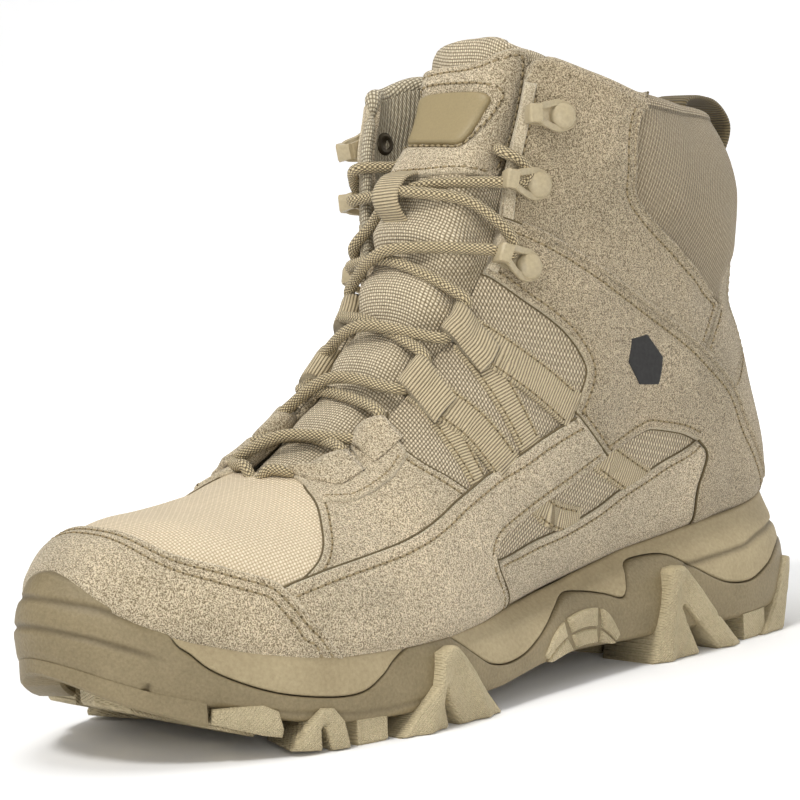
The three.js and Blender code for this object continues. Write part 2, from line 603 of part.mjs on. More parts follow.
// A strap across the laces, held to the tongue at its two ends.
function makeKeeper() {
  const [from, to] = [0.96, 1.04];
  const roofHeight = 9;
  const ends = [[13.95, 14.15], [15.85, 16.05]].map(
    ([low, high]) => onTongue([low, high], from, to, ledge, roofHeight, 1));
  const roof = onTongue(steps(13.95, 16.05, 3), from, to, roofHeight, 1.4, 2);
  return roof.add(ends[0]).add(ends[1]);
}

// ---- the boot -----------------------------------------------------------------------------------
const boot = new THREE.Group();
const { outsole, midsole } = makeSole();
boot.add(meshFrom('outsole', outsole, colours.outsole, 0.75));
boot.add(meshFrom('midsole', midsole, colours.midsole, 0.8));
boot.add(meshFrom('insole', makeInsole(), colours.lining));
boot.add(meshFrom('upper', makeUpper(), colours.suede));
boot.add(meshFrom('tongue', makeTongue(), colours.nylon));
const badge = onTongue(steps(17.0, 18.3, 3), 0.925, 1.075, ledge, 2);
boot.add(meshFrom('tongue_badge', badge, colours.outsole));
boot.add(meshFrom('tongue_lace_keeper', makeKeeper(), colours.webbing));
boot.add(meshFrom('heel_pull_loop', makePullLoop(), colours.webbing));
for (const [name, solid] of makeHolders()) {
  boot.add(meshFrom(name, solid, name.startsWith('lace_tab') ? colours.suede : colours.webbing));
}
hookSections.forEach(({ outerAt, innerAt }, i) => {
  const outer = hookSolid(outerAt, throatOuter(outerAt) - hookInset, 1);
  const inner = hookSolid(innerAt, throatInner(innerAt) + hookInset, -1);
  boot.add(meshFrom(`speed_hook_outer_${i + 1}`, outer, colours.metal, 0.45, 0.8));
  boot.add(meshFrom(`speed_hook_inner_${i + 1}`, inner, colours.metal, 0.45, 0.8));
});
for (const [name, solid] of makeLaces()) {
  boot.add(meshFrom(name, solid, colours.lace));
}
export default boot;
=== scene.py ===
# Dresses a lace-up combat boot: panels of suede and woven nylon, webbing, laces, hooks and a rubber sole.
import bpy
import math
import numpy as np
from mathutils import Matrix, Vector, kdtree
from mathutils.geometry import delaunay_2d_cdt
from numpy.linalg import norm


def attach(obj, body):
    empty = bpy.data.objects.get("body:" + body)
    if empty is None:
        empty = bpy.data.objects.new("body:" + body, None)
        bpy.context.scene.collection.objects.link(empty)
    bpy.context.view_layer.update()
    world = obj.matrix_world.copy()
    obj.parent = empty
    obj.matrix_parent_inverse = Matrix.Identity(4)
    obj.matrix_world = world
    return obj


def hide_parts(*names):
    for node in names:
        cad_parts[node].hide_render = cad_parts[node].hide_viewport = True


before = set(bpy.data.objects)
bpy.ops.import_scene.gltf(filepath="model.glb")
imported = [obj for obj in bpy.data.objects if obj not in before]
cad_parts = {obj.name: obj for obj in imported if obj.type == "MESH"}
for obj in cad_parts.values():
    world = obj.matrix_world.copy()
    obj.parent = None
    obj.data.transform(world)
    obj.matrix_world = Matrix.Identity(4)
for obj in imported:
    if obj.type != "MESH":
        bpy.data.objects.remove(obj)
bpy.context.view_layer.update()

# Lengths below are millimetres. "fwd" is the distance forward of the heel, and the frame's origin is
# originFwd forward of the heel and originX outward of the last's middle line.
shoe = dict(originFwd=133.55, originX=2.25, laceDiameter=3.5, detail=1.0)

# Sections of the upper from the toe, under the foot, round the heel and up past the collar:
# lowFwd lowZ highFwd highZ outerHalf innerHalf lowX highX belly lowCurve outerCurve innerCurve wall pad flare
sections = np.array([
    [268, 39, 269.5, 46, 3, 3, -4, -4, .45, 2.4, 2.2, 2.2, 2.6, 0, 0],
    [266.5, 35.5, 268, 50.5, 12, 11, -4, -4, .45, 2.5, 2.2, 2.2, 2.6, 0, 0],
    [263, 32.5, 264, 55, 20, 17, -4, -4, .42, 2.7, 2.3, 2.3, 2.6, 0, 0],
    [256, 29.5, 257.5, 59.5, 28, 23, -3, -4, .40, 3.0, 2.4, 2.3, 2.6, 0, 0],
    [245, 25, 244, 62.5, 36, 30.5, -2, -4, .36, 3.2, 2.45, 2.3, 2.6, 0, 0],
    [231, 20.5, 228, 63.5, 43, 37.5, -1, -4, .33, 3.4, 2.4, 2.3, 2.4, 0, 0],
    [214, 17, 210, 65.5, 48, 42.5, 0, -4, .30, 3.4, 2.3, 2.2, 2.4, 0, 0],
    [196, 15, 191, 70.5, 50, 44.5, 0, -4, .28, 3.4, 2.15, 2.1, 2.4, 0, 0],
    [178, 15, 174, 79.5, 49, 42.5, 1, -3, .27, 3.3, 2.1, 2.1, 2.6, 0, 0],
    [158, 17.5, 159, 92.5, 46, 39, 1, -2, .27, 3.2, 2.1, 2.1, 2.8, 0, 0],
    [137, 21.5, 147, 106, 42.5, 35.5, 1, -1.5, .28, 3.0, 2.1, 2.15, 3, 0, 0],
    [110, 25, 139.5, 117, 40, 33.5, 1, -1, .32, 2.8, 2.15, 2.3, 3, 0, .8],
    [80, 26, 135, 126, 38, 33.5, 1, -1, .36, 2.6, 2.2, 2.5, 3, 0, 2],
    [45, 25.5, 131, 134, 37.5, 34, .5, -.5, .40, 2.5, 2.25, 2.8, 3, .5, 3.6],
    [12, 27, 128, 141, 37, 35, 0, 0, .43, 2.3, 2.3, 3.1, 3, 1, 5.4],
    [-6, 42, 125, 148, 36.5, 35.5, 0, 0, .45, 2.2, 2.35, 3.4, 3, 1.5, 7],
    [-1, 72, 121, 156, 36, 36, 0, 0, .46, 2.1, 2.4, 3.6, 3, 2, 8.4],
    [6, 98, 117, 164, 36.5, 37, 0, 0, .46, 2.05, 2.4, 3.8, 3, 3, 9.6],
    [7, 124, 113, 174, 38, 38, 0, 0, .46, 2.0, 2.4, 3.8, 3, 4, 10.6],
    [5, 166, 108, 189, 39, 38.5, 0, 0, .46, 2.0, 2.4, 3.8, 3, 4, 11.4],
    [3, 190, 103, 213, 39.5, 39, 0, 0, .46, 2.0, 2.4, 3.8, 3, 4, 9]])
flapSpread = (1.0, .25, -.55)  # how the inner front flap stands open: sideways, forward, up

# Edges of the throat: section, then the turn round the section (1 is its top middle) on each side.
throatStart = 6.9
throatEdges = np.array([
    [throatStart, .95, .95], [7.2, .88, .88], [8, .87, .865], [9.4, .845, .845], [11, .81, .825],
    [12.7, .81, .83], [14, .815, .84], [16, .82, .85], [19, .82, .85], [20, .82, .85]])

collarLine = np.array([  # height of the collar's edge at each distance forward
    [-40, 165], [4, 165], [20, 166], [50, 169], [71, 172.5], [88, 180], [102, 187], [140, 187]])


def ramp(value, start, end):
    t = np.clip((value - start) / (end - start), 0, 1)
    return t * t * (3 - 2 * t)


def smoothRows(rows, at):  # smooth values of every column at fractional rows
    last = len(rows) - 1
    at = np.clip(at, 0, last)
    i = np.minimum(np.floor(at).astype(int), last - 1)
    f = (at - i)[:, None]
    a, b = rows[np.maximum(i - 1, 0)], rows[i]
    c, d = rows[i + 1], rows[np.minimum(i + 2, last)]
    return b + .5 * f * (c - a + f * (2 * a - 5 * b + 4 * c - d + f * (3 * (b - c) + d - a)))


def frameMm(x, fwd, z):  # from the last's own measures to the frame's
    return np.stack([x - shoe["originX"], shoe["originFwd"] - fwd, z], -1)


def unit(vectors):
    return vectors / np.maximum(norm(vectors, axis=-1, keepdims=True), 1e-9)


def runOf(points):  # the distance along a line of points
    return np.concatenate([[0], np.cumsum(norm(np.diff(points, axis=0), axis=1))])


def between(at, along, values):  # the values at places along a line
    return np.stack([np.interp(at, along, column) for column in values.T], -1)


def anglesRound(count):
    return np.arange(count) / count * 2 * math.pi


def sided(name, side):
    return name + ("_outer" if side > 0 else "_inner")


# A point of the upper's surface. "around" runs from 0 at the section's low middle, over the outer
# side, to 1 at its top middle, and down the inner side to 2.
def lastPoint(section, around, opened=1.0):
    section, around = np.broadcast_arrays(np.asarray(section, float), np.mod(np.asarray(around, float), 2))
    (lowFwd, lowZ, highFwd, highZ, outerHalf, innerHalf, lowX, highX,
     belly, lowCurve, outerCurve, innerCurve, _, _, flare) = smoothRows(sections, section).T
    outer = around <= 1
    turn = np.where(outer, around, 2 - around)
    low = turn < .5
    angle = np.clip(np.where(low, turn * 2, turn * 2 - 1), 0, 1) * math.pi / 2
    sine, cosine = np.maximum(np.sin(angle), 0), np.maximum(np.cos(angle), 0)
    power = 2 / np.where(low, lowCurve, np.where(outer, outerCurve, innerCurve))
    across = np.where(low, sine, cosine) ** power
    rise = np.where(low, belly * (1 - cosine ** power), belly + (1 - belly) * sine ** power)
    half = np.where(outer, outerHalf, -innerHalf)
    lift = np.where(outer, 0, opened * flare * ramp(turn, .55, .84) * ramp(1 - turn, 0, .12))
    return frameMm(half * across + lowX + (highX - lowX) * rise - flapSpread[0] * lift,
                   lowFwd + (highFwd - lowFwd) * rise + flapSpread[1] * lift,
                   lowZ + (highZ - lowZ) * rise + flapSpread[2] * lift)


def normalsOf(place, a, b, step=.006, stepA=.04):  # outward directions of a surface
    along = place(a + stepA, b) - place(a - stepA, b)
    across = place(a, b + step) - place(a, b - step)
    return unit(np.cross(along, across))


def pointAt(place, section, around):  # one point of a surface
    return place(np.full(1, section), np.full(1, around))[0]


def normalAt(place, section, around, *steps):
    return normalsOf(place, np.full(1, section), np.full(1, around), *steps)[0]


atOnce = 2000  # points worked on at once, to save memory


# Distance from each point to a line of points, with how far along the line the nearest place is.
def distanceTo(points, line, closed=False):
    line = np.vstack([line, line[:1]]) if closed else line
    start, run = line[:-1], np.diff(line, axis=0)
    length = np.maximum((run ** 2).sum(1), 1e-9)
    offset = np.concatenate([[0], np.cumsum(np.sqrt(length))])[:-1]
    best, place = np.empty(len(points)), np.empty(len(points))
    for first in range(0, len(points), atOnce):
        block = points[first:first + atOnce, None, :] - start[None]
        t = np.clip((block * run).sum(2) / length, 0, 1)
        gap = norm(block - t[..., None] * run, axis=2)
        nearest = gap.argmin(1)
        rows = np.arange(len(gap))
        best[first:first + atOnce] = gap[rows, nearest]
        place[first:first + atOnce] = offset[nearest] + t[rows, nearest] * np.sqrt(length[nearest])
    return best, place


def sampled(control, count=14):  # a smooth line through chart points
    control = np.asarray(control, float)
    at = np.linspace(0, len(control) - 1, (len(control) - 1) * count + 1)
    return smoothRows(control, at)


def spaced(place, chart, step):  # the same line with points at even distances on the surface
    along = runOf(place(*chart.T))
    at = np.linspace(0, along[-1], max(2, int(along[-1] / step + 1.5)))
    return between(at, along, chart)


# Soft folds of the upper, laid one by one: a line over the surface, its height and its half width.
folds = [
    ([(9.2, .74), (9.6, .66), (10.2, .585)], -.9, 4.5),
    ([(10.1, .76), (10.45, .68), (10.75, .59)], .7, 5),
    ([(11.5, .78), (12.2, .72), (12.7, .64)], -.8, 5),
    ([(7.3, .70), (7.9, .66), (8.8, .645)], -.7, 5),
    ([(12.2, .54), (13.4, .58), (14.2, .66), (14.4, .74)], .8, 9),
    ([(13.2, .52), (14.0, .50), (14.8, .46)], -.9, 8),
    ([(14.4, .36), (14.0, .30), (13.6, .25)], -.8, 7),
    ([(15.6, .68), (15.9, .58), (16.2, .50)], -1.0, 7),
    ([(17.2, .78), (17.5, .70), (17.7, .62)], .8, 8),
    ([(16.4, .42), (16.9, .33), (17.0, .20)], -1.3, 6),
    ([(17.5, .50), (17.6, .40), (17.5, .28)], 1.0, 6),
    ([(5.0, .70), (4.6, .80), (4.3, .92)], .5, 9),
    ([(6.6, .96), (6.3, .86), (6.2, .76)], -.6, 6),
]


def sideLine(points, side):  # a line drawn for the outer side, on either side
    points = np.asarray(points, float)
    return points if side > 0 else np.stack([points[:, 0], 2 - points[:, 1]], 1)


foldLines = [(lastPoint(*sideLine(sampled(line), side).T), height, width)
             for line, height, width in folds for side in (1, -1)]


foldReach = 90
collarTuck = dict(depth=8.0, low=136, high=172)  # the padded collar leans in towards the ankle at the back


def skinPoint(section, around, opened=1.0):  # the surface with its folds and its padded collar
    base = lastPoint(section, around, opened)
    normal = normalsOf(lambda a, b: lastPoint(a, b, opened), section, around)
    height = np.zeros(len(base))
    for line, size, width in foldLines:
        near = np.abs(base - line.mean(0)).max(1) < foldReach
        if near.any():
            gap, _ = distanceTo(base[near], line[::3])
            height[near] += size * np.exp(-(gap / width) ** 2)
    turn = np.abs(np.mod(around + 1, 2) - 1)
    lean = ramp(base[:, 2], collarTuck["low"], collarTuck["high"]) * (1 - ramp(turn, .40, .58))
    return base + normal * (height - collarTuck["depth"] * lean * (section > 12))[:, None]


# The same surface from a fine table, quick to look up many times.
tableSteps = (260, 520)
tableRows = np.linspace(0, 20, tableSteps[0] + 1)
tableTurns = np.linspace(-1, 1, tableSteps[1] + 1)


def tableOf(opened):
    a, b = np.meshgrid(tableRows, tableTurns, indexing="ij")
    return skinPoint(a.ravel(), b.ravel(), opened).reshape(*a.shape, 3)


tablePoints, closedPoints = tableOf(1.0), tableOf(0.0)  # with the inner flap open, and shut under the tongue
alongLength = np.zeros(tablePoints.shape[:2])
alongLength[1:] = np.cumsum(norm(np.diff(tablePoints, axis=0), axis=2), 0)
alongLength -= alongLength[[tableSteps[0] // 2]]
roundLength = np.zeros(tablePoints.shape[:2])
roundLength[:, 1:] = np.cumsum(norm(np.diff(tablePoints, axis=1), axis=2), 1)
middleOfTop = roundLength[:, -1:]
roundLength = np.where(tableTurns[None] >= 0, middleOfTop - roundLength, -roundLength)
weaveTable = np.stack([alongLength, roundLength], 2)


def lookUp(table, section, around):
    around = np.mod(np.asarray(around, float) + 1, 2) - 1
    r = np.clip(np.asarray(section, float) / tableRows[1], 0, tableSteps[0] - .001)
    c = np.clip((around + 1) / (tableTurns[1] - tableTurns[0]), 0, tableSteps[1] - .001)
    i, j = r.astype(int), c.astype(int)
    f, g = (r - i)[:, None], (c - j)[:, None]
    return ((table[i, j] * (1 - f) + table[i + 1, j] * f) * (1 - g)
            + (table[i, j + 1] * (1 - f) + table[i + 1, j + 1] * f) * g)


def upper(section, around):
    return lookUp(tablePoints, section, around)


def closedUpper(section, around):
    return lookUp(closedPoints, section, around)


def throatTurn(section, side):  # the throat edge's place round the section
    turn = np.interp(section, throatEdges[:, 0], throatEdges[:, 1 if side > 0 else 2])
    return turn if side > 0 else 2 - turn


def edgeLine(start, end, side, inset=0.0):
    at = np.linspace(start, end, 24)
    return np.stack([at, throatTurn(at, side) - side * inset], 1)


def insideOf(points, outline):
    x, y = points[:, 0], points[:, 1]
    result = np.zeros(len(points), bool)
    for (x0, y0), (x1, y1) in zip(outline, np.roll(outline, -1, 0)):
        if y0 != y1:
            crosses = (y0 > y) != (y1 > y)
            result ^= crosses & (x < (x1 - x0) * (y - y0) / (y1 - y0) + x0)
    return result


def localScale(place, chart):  # millimetres for each section and each turn
    step = .01
    a, b = chart[:, 0], chart[:, 1]
    return (norm(place(a + step, b) - place(a - step, b), axis=1) / (2 * step),
            norm(place(a, b + step) - place(a, b - step), axis=1) / (2 * step))


# Chart points at a distance to the inside (left) of a line on a surface.
def offsetLine(place, chart, distance, closed=False):
    ahead = np.roll(chart, -1, 0) if closed else np.vstack([chart[1:], 2 * chart[-1] - chart[-2]])
    behind = np.roll(chart, 1, 0) if closed else np.vstack([2 * chart[0] - chart[1], chart[:-1]])
    step = .01
    a, b = chart[:, 0], chart[:, 1]
    pa = (place(a + step, b) - place(a - step, b)) / (2 * step)
    pb = (place(a, b + step) - place(a, b - step)) / (2 * step)
    tangent = place(*ahead.T) - place(*behind.T)
    normal = np.cross(pa, pb)
    left = unit(np.cross(normal, tangent))
    aa, ab, bb = (pa * pa).sum(1), (pa * pb).sum(1), (pb * pb).sum(1)
    la, lb = (left * pa).sum(1), (left * pb).sum(1)
    det = aa * bb - ab * ab
    return chart + distance * np.stack([(la * bb - lb * ab) / det, (lb * aa - la * ab) / det], 1)


# Fills an outline on a surface with triangles, closer along its rim and along the guide lines.
def cutOut(place, outline, spacing, guides, ringAt):
    outline = outline if signedArea(outline) > 0 else outline[::-1]
    scaleA, scaleB = (value.mean() for value in localScale(place, outline))
    border = place(*outline.T)
    extra = []
    for distance in ringAt:
        ring = offsetLine(place, outline, distance, closed=True)
        ring = ring[insideOf(ring, outline)]
        gap, _ = distanceTo(place(*ring.T), border, closed=True)
        extra.append(ring[gap > distance * .88])
    for guide, width in guides:
        for distance in (-width, 0, width):
            line = offsetLine(place, guide, distance) if distance else guide
            line = line[insideOf(line, outline)]
            if len(line):
                gap, _ = distanceTo(place(*line.T), border, closed=True)
                extra.append(line[gap > .3])
    low, high = outline.min(0), outline.max(0)
    stepA, stepB = spacing / scaleA, spacing * .87 / scaleB
    rows = np.arange(int((high[1] - low[1]) / stepB) + 1)
    columns = np.arange(int((high[0] - low[0]) / stepA) + 2)
    a, b = np.meshgrid(columns, rows, indexing="ij")
    grid = np.stack([low[0] + (a + .5 * (b % 2)) * stepA, low[1] + b * stepB], -1).reshape(-1, 2)
    index = np.stack([a, b], -1).reshape(-1, 2)
    keep = insideOf(grid, outline)
    grid, index = grid[keep], index[keep]
    if len(grid):
        nearA, nearB = localScale(place, grid)
        skipA = 2 ** np.floor(np.log2(np.clip(scaleA / np.maximum(nearA, 1e-6), 1, 16)))
        skipB = 2 ** np.floor(np.log2(np.clip(scaleB / np.maximum(nearB, 1e-6), 1, 16)))
        keep = (index[:, 0] % skipA == 0) & (index[:, 1] % skipB == 0)
        grid = grid[keep]
        points = place(*grid.T)
        gap, _ = distanceTo(points, border, closed=True)
        clear = gap > spacing * .6 + max(ringAt)
        if sum(map(len, extra)):
            fixed = np.vstack(extra)
            tree = kdtree.KDTree(len(fixed))
            for i, p in enumerate(place(*fixed.T)):
                tree.insert(Vector(p), i)
            tree.balance()
            clear &= np.array([tree.find(Vector(p))[2] > spacing * .55 for p in points])
        grid = grid[clear]
    chart = np.vstack([outline, *extra, grid])
    scale = np.array([scaleA, scaleB])
    count = len(outline)
    edges = [(i, (i + 1) % count) for i in range(count)]
    flat = [Vector(p) for p in chart * scale]
    points, _, faces, _, _, _ = delaunay_2d_cdt(flat, edges, [], 1, 1e-5)
    chart = np.array([[p.x, p.y] for p in points]) / scale
    return chart, [tuple(f) for f in faces], outline


def signedArea(outline):
    x, y = outline[:, 0], outline[:, 1]
    return .5 * (x * np.roll(y, -1) - np.roll(x, -1) * y).sum()


def flipped(faces):
    return [tuple(reversed(f)) for f in faces]


def borderEdges(faces):
    seen = {}
    for face in faces:
        for a, b in zip(face, face[1:] + face[:1]):
            if (b, a) in seen:
                del seen[(b, a)]
            else:
                seen[(a, b)] = True
    return list(seen)


farFromRim = 9.0  # where a piece has no rim of its own to wear


def addPiece(name, points, faces, material, slot, uv=None, faceMaterial=None, smooth=True, extra=None):
    mesh = bpy.data.meshes.new(name)
    mesh.from_pydata((np.asarray(points) * .001).tolist(), [], [list(map(int, f)) for f in faces])
    for one in (material if isinstance(material, (list, tuple)) else [material]):
        mesh.materials.append(one)
    mesh.polygons.foreach_set("use_smooth", [smooth] * len(mesh.polygons))
    if faceMaterial is not None:
        mesh.polygons.foreach_set("material_index", np.asarray(faceMaterial, np.int32))
    if uv is not None:
        corner = np.empty(len(mesh.loops), np.int32)
        mesh.loops.foreach_get("vertex_index", corner)
        layer = mesh.uv_layers.new(name="weave")
        layer.data.foreach_set("uv", np.asarray(uv, np.float32)[corner].ravel())
    extra = extra or {}
    extra.setdefault("rimDistance", np.full(len(points), farFromRim))
    for key, values in extra.items():
        mesh.attributes.new(key, "FLOAT", "POINT").data.foreach_set("value", np.asarray(values, np.float32))
    mesh.validate()
    piece = bpy.data.objects.new(name, mesh)
    bpy.context.scene.collection.objects.link(piece)
    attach(piece, "root")
    return piece


# A closed sheet on a surface: its top rises from the edge like a cut of leather, and seams sink into it.
def panel(name, place, outline, material, slot, top=1.5, bottom=-.4, bevel=.7, edge=.45, spacing=2.2,
          seams=(), sink=.35, seamWidth=.8, shape=None, uv=None, flip=False):
    spacing *= shoe["detail"]
    guides = [(line, seamWidth * 1.3) for line in seams]
    chart, faces, outline = cutOut(place, outline, spacing, guides, (bevel * .4, bevel))
    a, b = chart[:, 0], chart[:, 1]
    base = place(a, b)
    normal = normalsOf(place, a, b) * (-1 if flip else 1)
    gap, _ = distanceTo(base, place(*outline.T), closed=True)
    gap[:len(outline)] = 0
    rounding = np.sqrt(1 - (1 - np.clip(gap / bevel, 0, 1)) ** 2)
    height = bottom + (top - bottom) * (edge + (1 - edge) * rounding)
    for line in seams:
        near, _ = distanceTo(base, place(*line.T))
        height -= sink * np.exp(-(near / seamWidth) ** 2)
    if shape is not None:
        height = height + shape(a, b, gap)
    count = len(base)
    points = np.vstack([base + normal * height[:, None], base + normal * bottom])
    allFaces = list(faces) + [tuple(i + count for i in reversed(f)) for f in faces]
    allFaces += [(j, i, i + count, j + count) for i, j in borderEdges(faces)]
    if flip:
        allFaces = flipped(allFaces)
    coordinates = lookUp(weaveTable, a, b) if uv is None else uv(a, b, base)
    return addPiece(name, points, allFaces, material, slot, np.vstack([coordinates] * 2),
                    extra={"rimDistance": np.concatenate([gap, np.zeros(count)])})


def loop(place, *parts, step=1.3):  # an outline from lines laid end to end
    line = [spaced(place, np.asarray(p, float), step * shoe["detail"]) for p in parts]
    return np.vstack([p[:-1] for p in line])


# Rings of points joined into a skin, with its ends capped, open or joined to each other.
def skinOver(rings, closedAlong=False, caps=True):
    rings = np.asarray(rings, float)
    rows, count = rings.shape[:2]
    points = rings.reshape(-1, 3)
    faces = []
    for r in range(rows if closedAlong else rows - 1):
        s = (r + 1) % rows
        for i in range(count):
            j = (i + 1) % count
            faces.append((r * count + i, r * count + j, s * count + j, s * count + i))
    if caps and not closedAlong:
        points = np.vstack([points, rings[0].mean(0), rings[-1].mean(0)])
        for i in range(count):
            j = (i + 1) % count
            faces.append((rows * count, j, i))
            faces.append((rows * count + 1, (rows - 1) * count + i, (rows - 1) * count + j))
    return points, faces


def outward(points, faces):  # turns a closed skin's faces to the outside
    points, volume = np.asarray(points, float), 0.0
    for face in faces:
        corner = points[list(face)] - points[0]
        volume += sum(corner[0].dot(np.cross(a, b)) for a, b in zip(corner[1:-1], corner[2:]))
    return points, list(faces) if volume > 0 else flipped(faces)


# Many small closed shapes gathered into one mesh.
class Gather:
    def __init__(self):
        self.points, self.faces, self.uv, self.kinds, self.count = [], [], [], [], 0

    def add(self, points, faces, uv=None, kind=0):
        points = np.asarray(points, float)
        self.faces += [tuple(i + self.count for i in f) for f in faces]
        self.kinds += [kind] * len(faces)
        self.points.append(points)
        self.uv.append(np.zeros((len(points), 2)) if uv is None else np.asarray(uv, float))
        self.count += len(points)

    def make(self, name, material, slot, smooth=True):
        return addPiece(name, np.vstack(self.points), self.faces, material, slot, np.vstack(self.uv),
                        faceMaterial=self.kinds, smooth=smooth)


def nodesOf(name, roughness, sheen=0.0, metallic=0.0):  # a new material with its plain settings
    material = bpy.data.materials.new(name)
    material.use_nodes = True
    tree = material.node_tree
    shader = tree.nodes["Principled BSDF"]
    shader.inputs["Roughness"].default_value = roughness
    shader.inputs["Metallic"].default_value = metallic
    shader.inputs["Sheen Weight"].default_value = sheen
    shader.inputs["Sheen Roughness"].default_value = .5
    shader.inputs["Specular IOR Level"].default_value = .3
    return material, tree, shader


def node(tree, kind, inputs=None, **settings):
    made = tree.nodes.new(kind)
    for key, value in settings.items():
        setattr(made, key, value)
    for key, value in (inputs or {}).items():
        if isinstance(value, bpy.types.NodeSocket):
            tree.links.new(value, made.inputs[key])
        else:
            made.inputs[key].default_value = value
    return made


def maths(tree, operation, a, b=0.0, clamp=False):
    return node(tree, "ShaderNodeMath", {0: a, 1: b}, operation=operation, use_clamp=clamp).outputs[0]


def times(tree, a, b):
    return maths(tree, "MULTIPLY", a, b)


def plus(tree, a, b):
    return maths(tree, "ADD", a, b)


def linear(colour):  # from the usual 0-255 values
    c = np.array(colour, float) / 255
    return (*np.where(c <= .04045, c / 12.92, ((c + .055) / 1.055) ** 2.4), 1.0)


def mixed(tree, share, first, second, blend="MIX"):
    made = node(tree, "ShaderNodeMix", {0: share}, data_type="RGBA", blend_type=blend)
    for index, value in ((6, first), (7, second)):
        if isinstance(value, bpy.types.NodeSocket):
            tree.links.new(value, made.inputs[index])
        else:
            made.inputs[index].default_value = value
    return made.outputs[2]


def ramped(tree, value, low, high):
    return node(tree, "ShaderNodeMapRange", {0: value, 1: low, 2: high}).outputs[0]


def noise(tree, scale, detail=2.0, roughness=.5):
    inputs = {"Scale": scale, "Detail": detail, "Roughness": roughness}
    inputs["Vector"] = node(tree, "ShaderNodeTexCoord").outputs["Object"]
    return node(tree, "ShaderNodeTexNoise", inputs).outputs[0]


def bumped(tree, shader, height, strength, distance):
    made = node(tree, "ShaderNodeBump", {"Height": height, "Strength": strength, "Distance": distance})
    tree.links.new(made.outputs[0], shader.inputs["Normal"])


def clothAxes(tree):  # the two "weave" coordinates of a cloth
    uv = node(tree, "ShaderNodeUVMap", uv_map="weave").outputs[0]
    return node(tree, "ShaderNodeSeparateXYZ", {0: uv}).outputs


def diamonds(tree, a, b):  # where two slanted waves cross
    one = maths(tree, "SINE", plus(tree, a, b))
    two = maths(tree, "SINE", maths(tree, "SUBTRACT", a, b))
    return maths(tree, "ABSOLUTE", times(tree, one, two))


# Colours a cloth from its weave: painted shade in its hollows, painted light on its floats, with a little
# fibre and soft patches.
def paintWeaveShade(tree, shader, height, name, fibre, weights, reach, patches=None):
    light, dark = colours[name]
    speck = noise(tree, fibre, 1.0, .6)
    shade = plus(tree, times(tree, height, weights[0]), times(tree, speck, weights[1]))
    base = mixed(tree, ramped(tree, shade, *reach), linear(dark), linear(light))
    if patches:
        scale, low, high = patches
        base = mixed(tree, 1.0, base, mixed(tree, noise(tree, scale, 2.0, .5), low, high), "MULTIPLY")
    tree.links.new(base, shader.inputs["Base Color"])


colours = dict(  # light and dark tone of each finish, on the usual 0-255 scale
    suede=((227, 211, 181), (126, 111, 84)),
    # the shaft's suede is the same suede in darker tones: painted shade on the shaft
    shaftSuedePaintedShade=((204, 188, 158), (108, 94, 69)),
    boundEdge=((220, 205, 176), (150, 135, 108)),
    # each cloth's and the lace's dark tone is painted shade in the weave's hollows, its light tone painted
    # light on the floats
    vampMesh=((238, 222, 196), (176, 158, 126)),
    nylonPanel=((234, 217, 186), (108, 93, 66)),
    collarCloth=((206, 189, 158), (108, 93, 66)),
    tongueCloth=((246, 230, 199), (128, 112, 82)),
    liningMesh=((226, 214, 186), (122, 109, 84)),
    webbing=((204, 187, 153), (100, 86, 60)),
    pullLoopWebbing=((122, 108, 78), (62, 53, 36)),
    laceBraid=((218, 199, 158), (92, 77, 47)),
    midsoleFoam=((172, 157, 124), (148, 133, 102)),
    # the outsole's tones are set darker than the midsole's to paint the toe's shade
    outsoleRubber=((141, 127, 97), (116, 103, 75)),
    # the knurled rubber is the sole's rubber in lighter tones: painted light from the floor's bounce on the
    # claws
    knurledRubberPaintedLight=((200, 185, 150), (166, 152, 120)),
    # the dark groove tone below is the painted shade for the sole's grooves and the edges beside its seam
    wornRim=(208, 196, 170), paintedGrooveShade=(74, 63, 44),
    # the stitch holes' dark tone and the seams' dark tone are painted shade
    thread=(150, 134, 102), stitchHoleShade=(92, 79, 55), seamShade=(98, 86, 62), badgeRubber=(146, 131, 97),
    paintedMetal=(172, 158, 128), darkMetal=(70, 62, 48), printInk=(48, 47, 46),
)


def makeSuede(name, grain=2600, patches=38):
    light, dark = colours[name]
    material, tree, shader = nodesOf(name, .95, sheen=.25)
    shader.inputs["Specular IOR Level"].default_value = .12
    fine = noise(tree, grain, 1.5, .6)
    coarse = noise(tree, grain * .42, 2.0, .6)
    cloud = noise(tree, patches, 2.0, .5)
    speck = plus(tree, times(tree, fine, .82), times(tree, coarse, .18))
    share = ramped(tree, speck, .40, .60)
    base = mixed(tree, share, linear(dark), linear(light))
    shade = mixed(tree, ramped(tree, cloud, .35, .7), (.88, .88, .87, 1), (1.06, 1.05, 1.04, 1))
    colour = mixed(tree, 1.0, base, shade, "MULTIPLY")
    rim = node(tree, "ShaderNodeAttribute", attribute_name="rimDistance").outputs["Fac"]
    worn = ramped(tree, rim, .9, .1)
    final = mixed(tree, times(tree, worn, .45), colour, linear(colours["wornRim"]))
    tree.links.new(final, shader.inputs["Base Color"])
    bumped(tree, shader, speck, .9, .001)
    return material


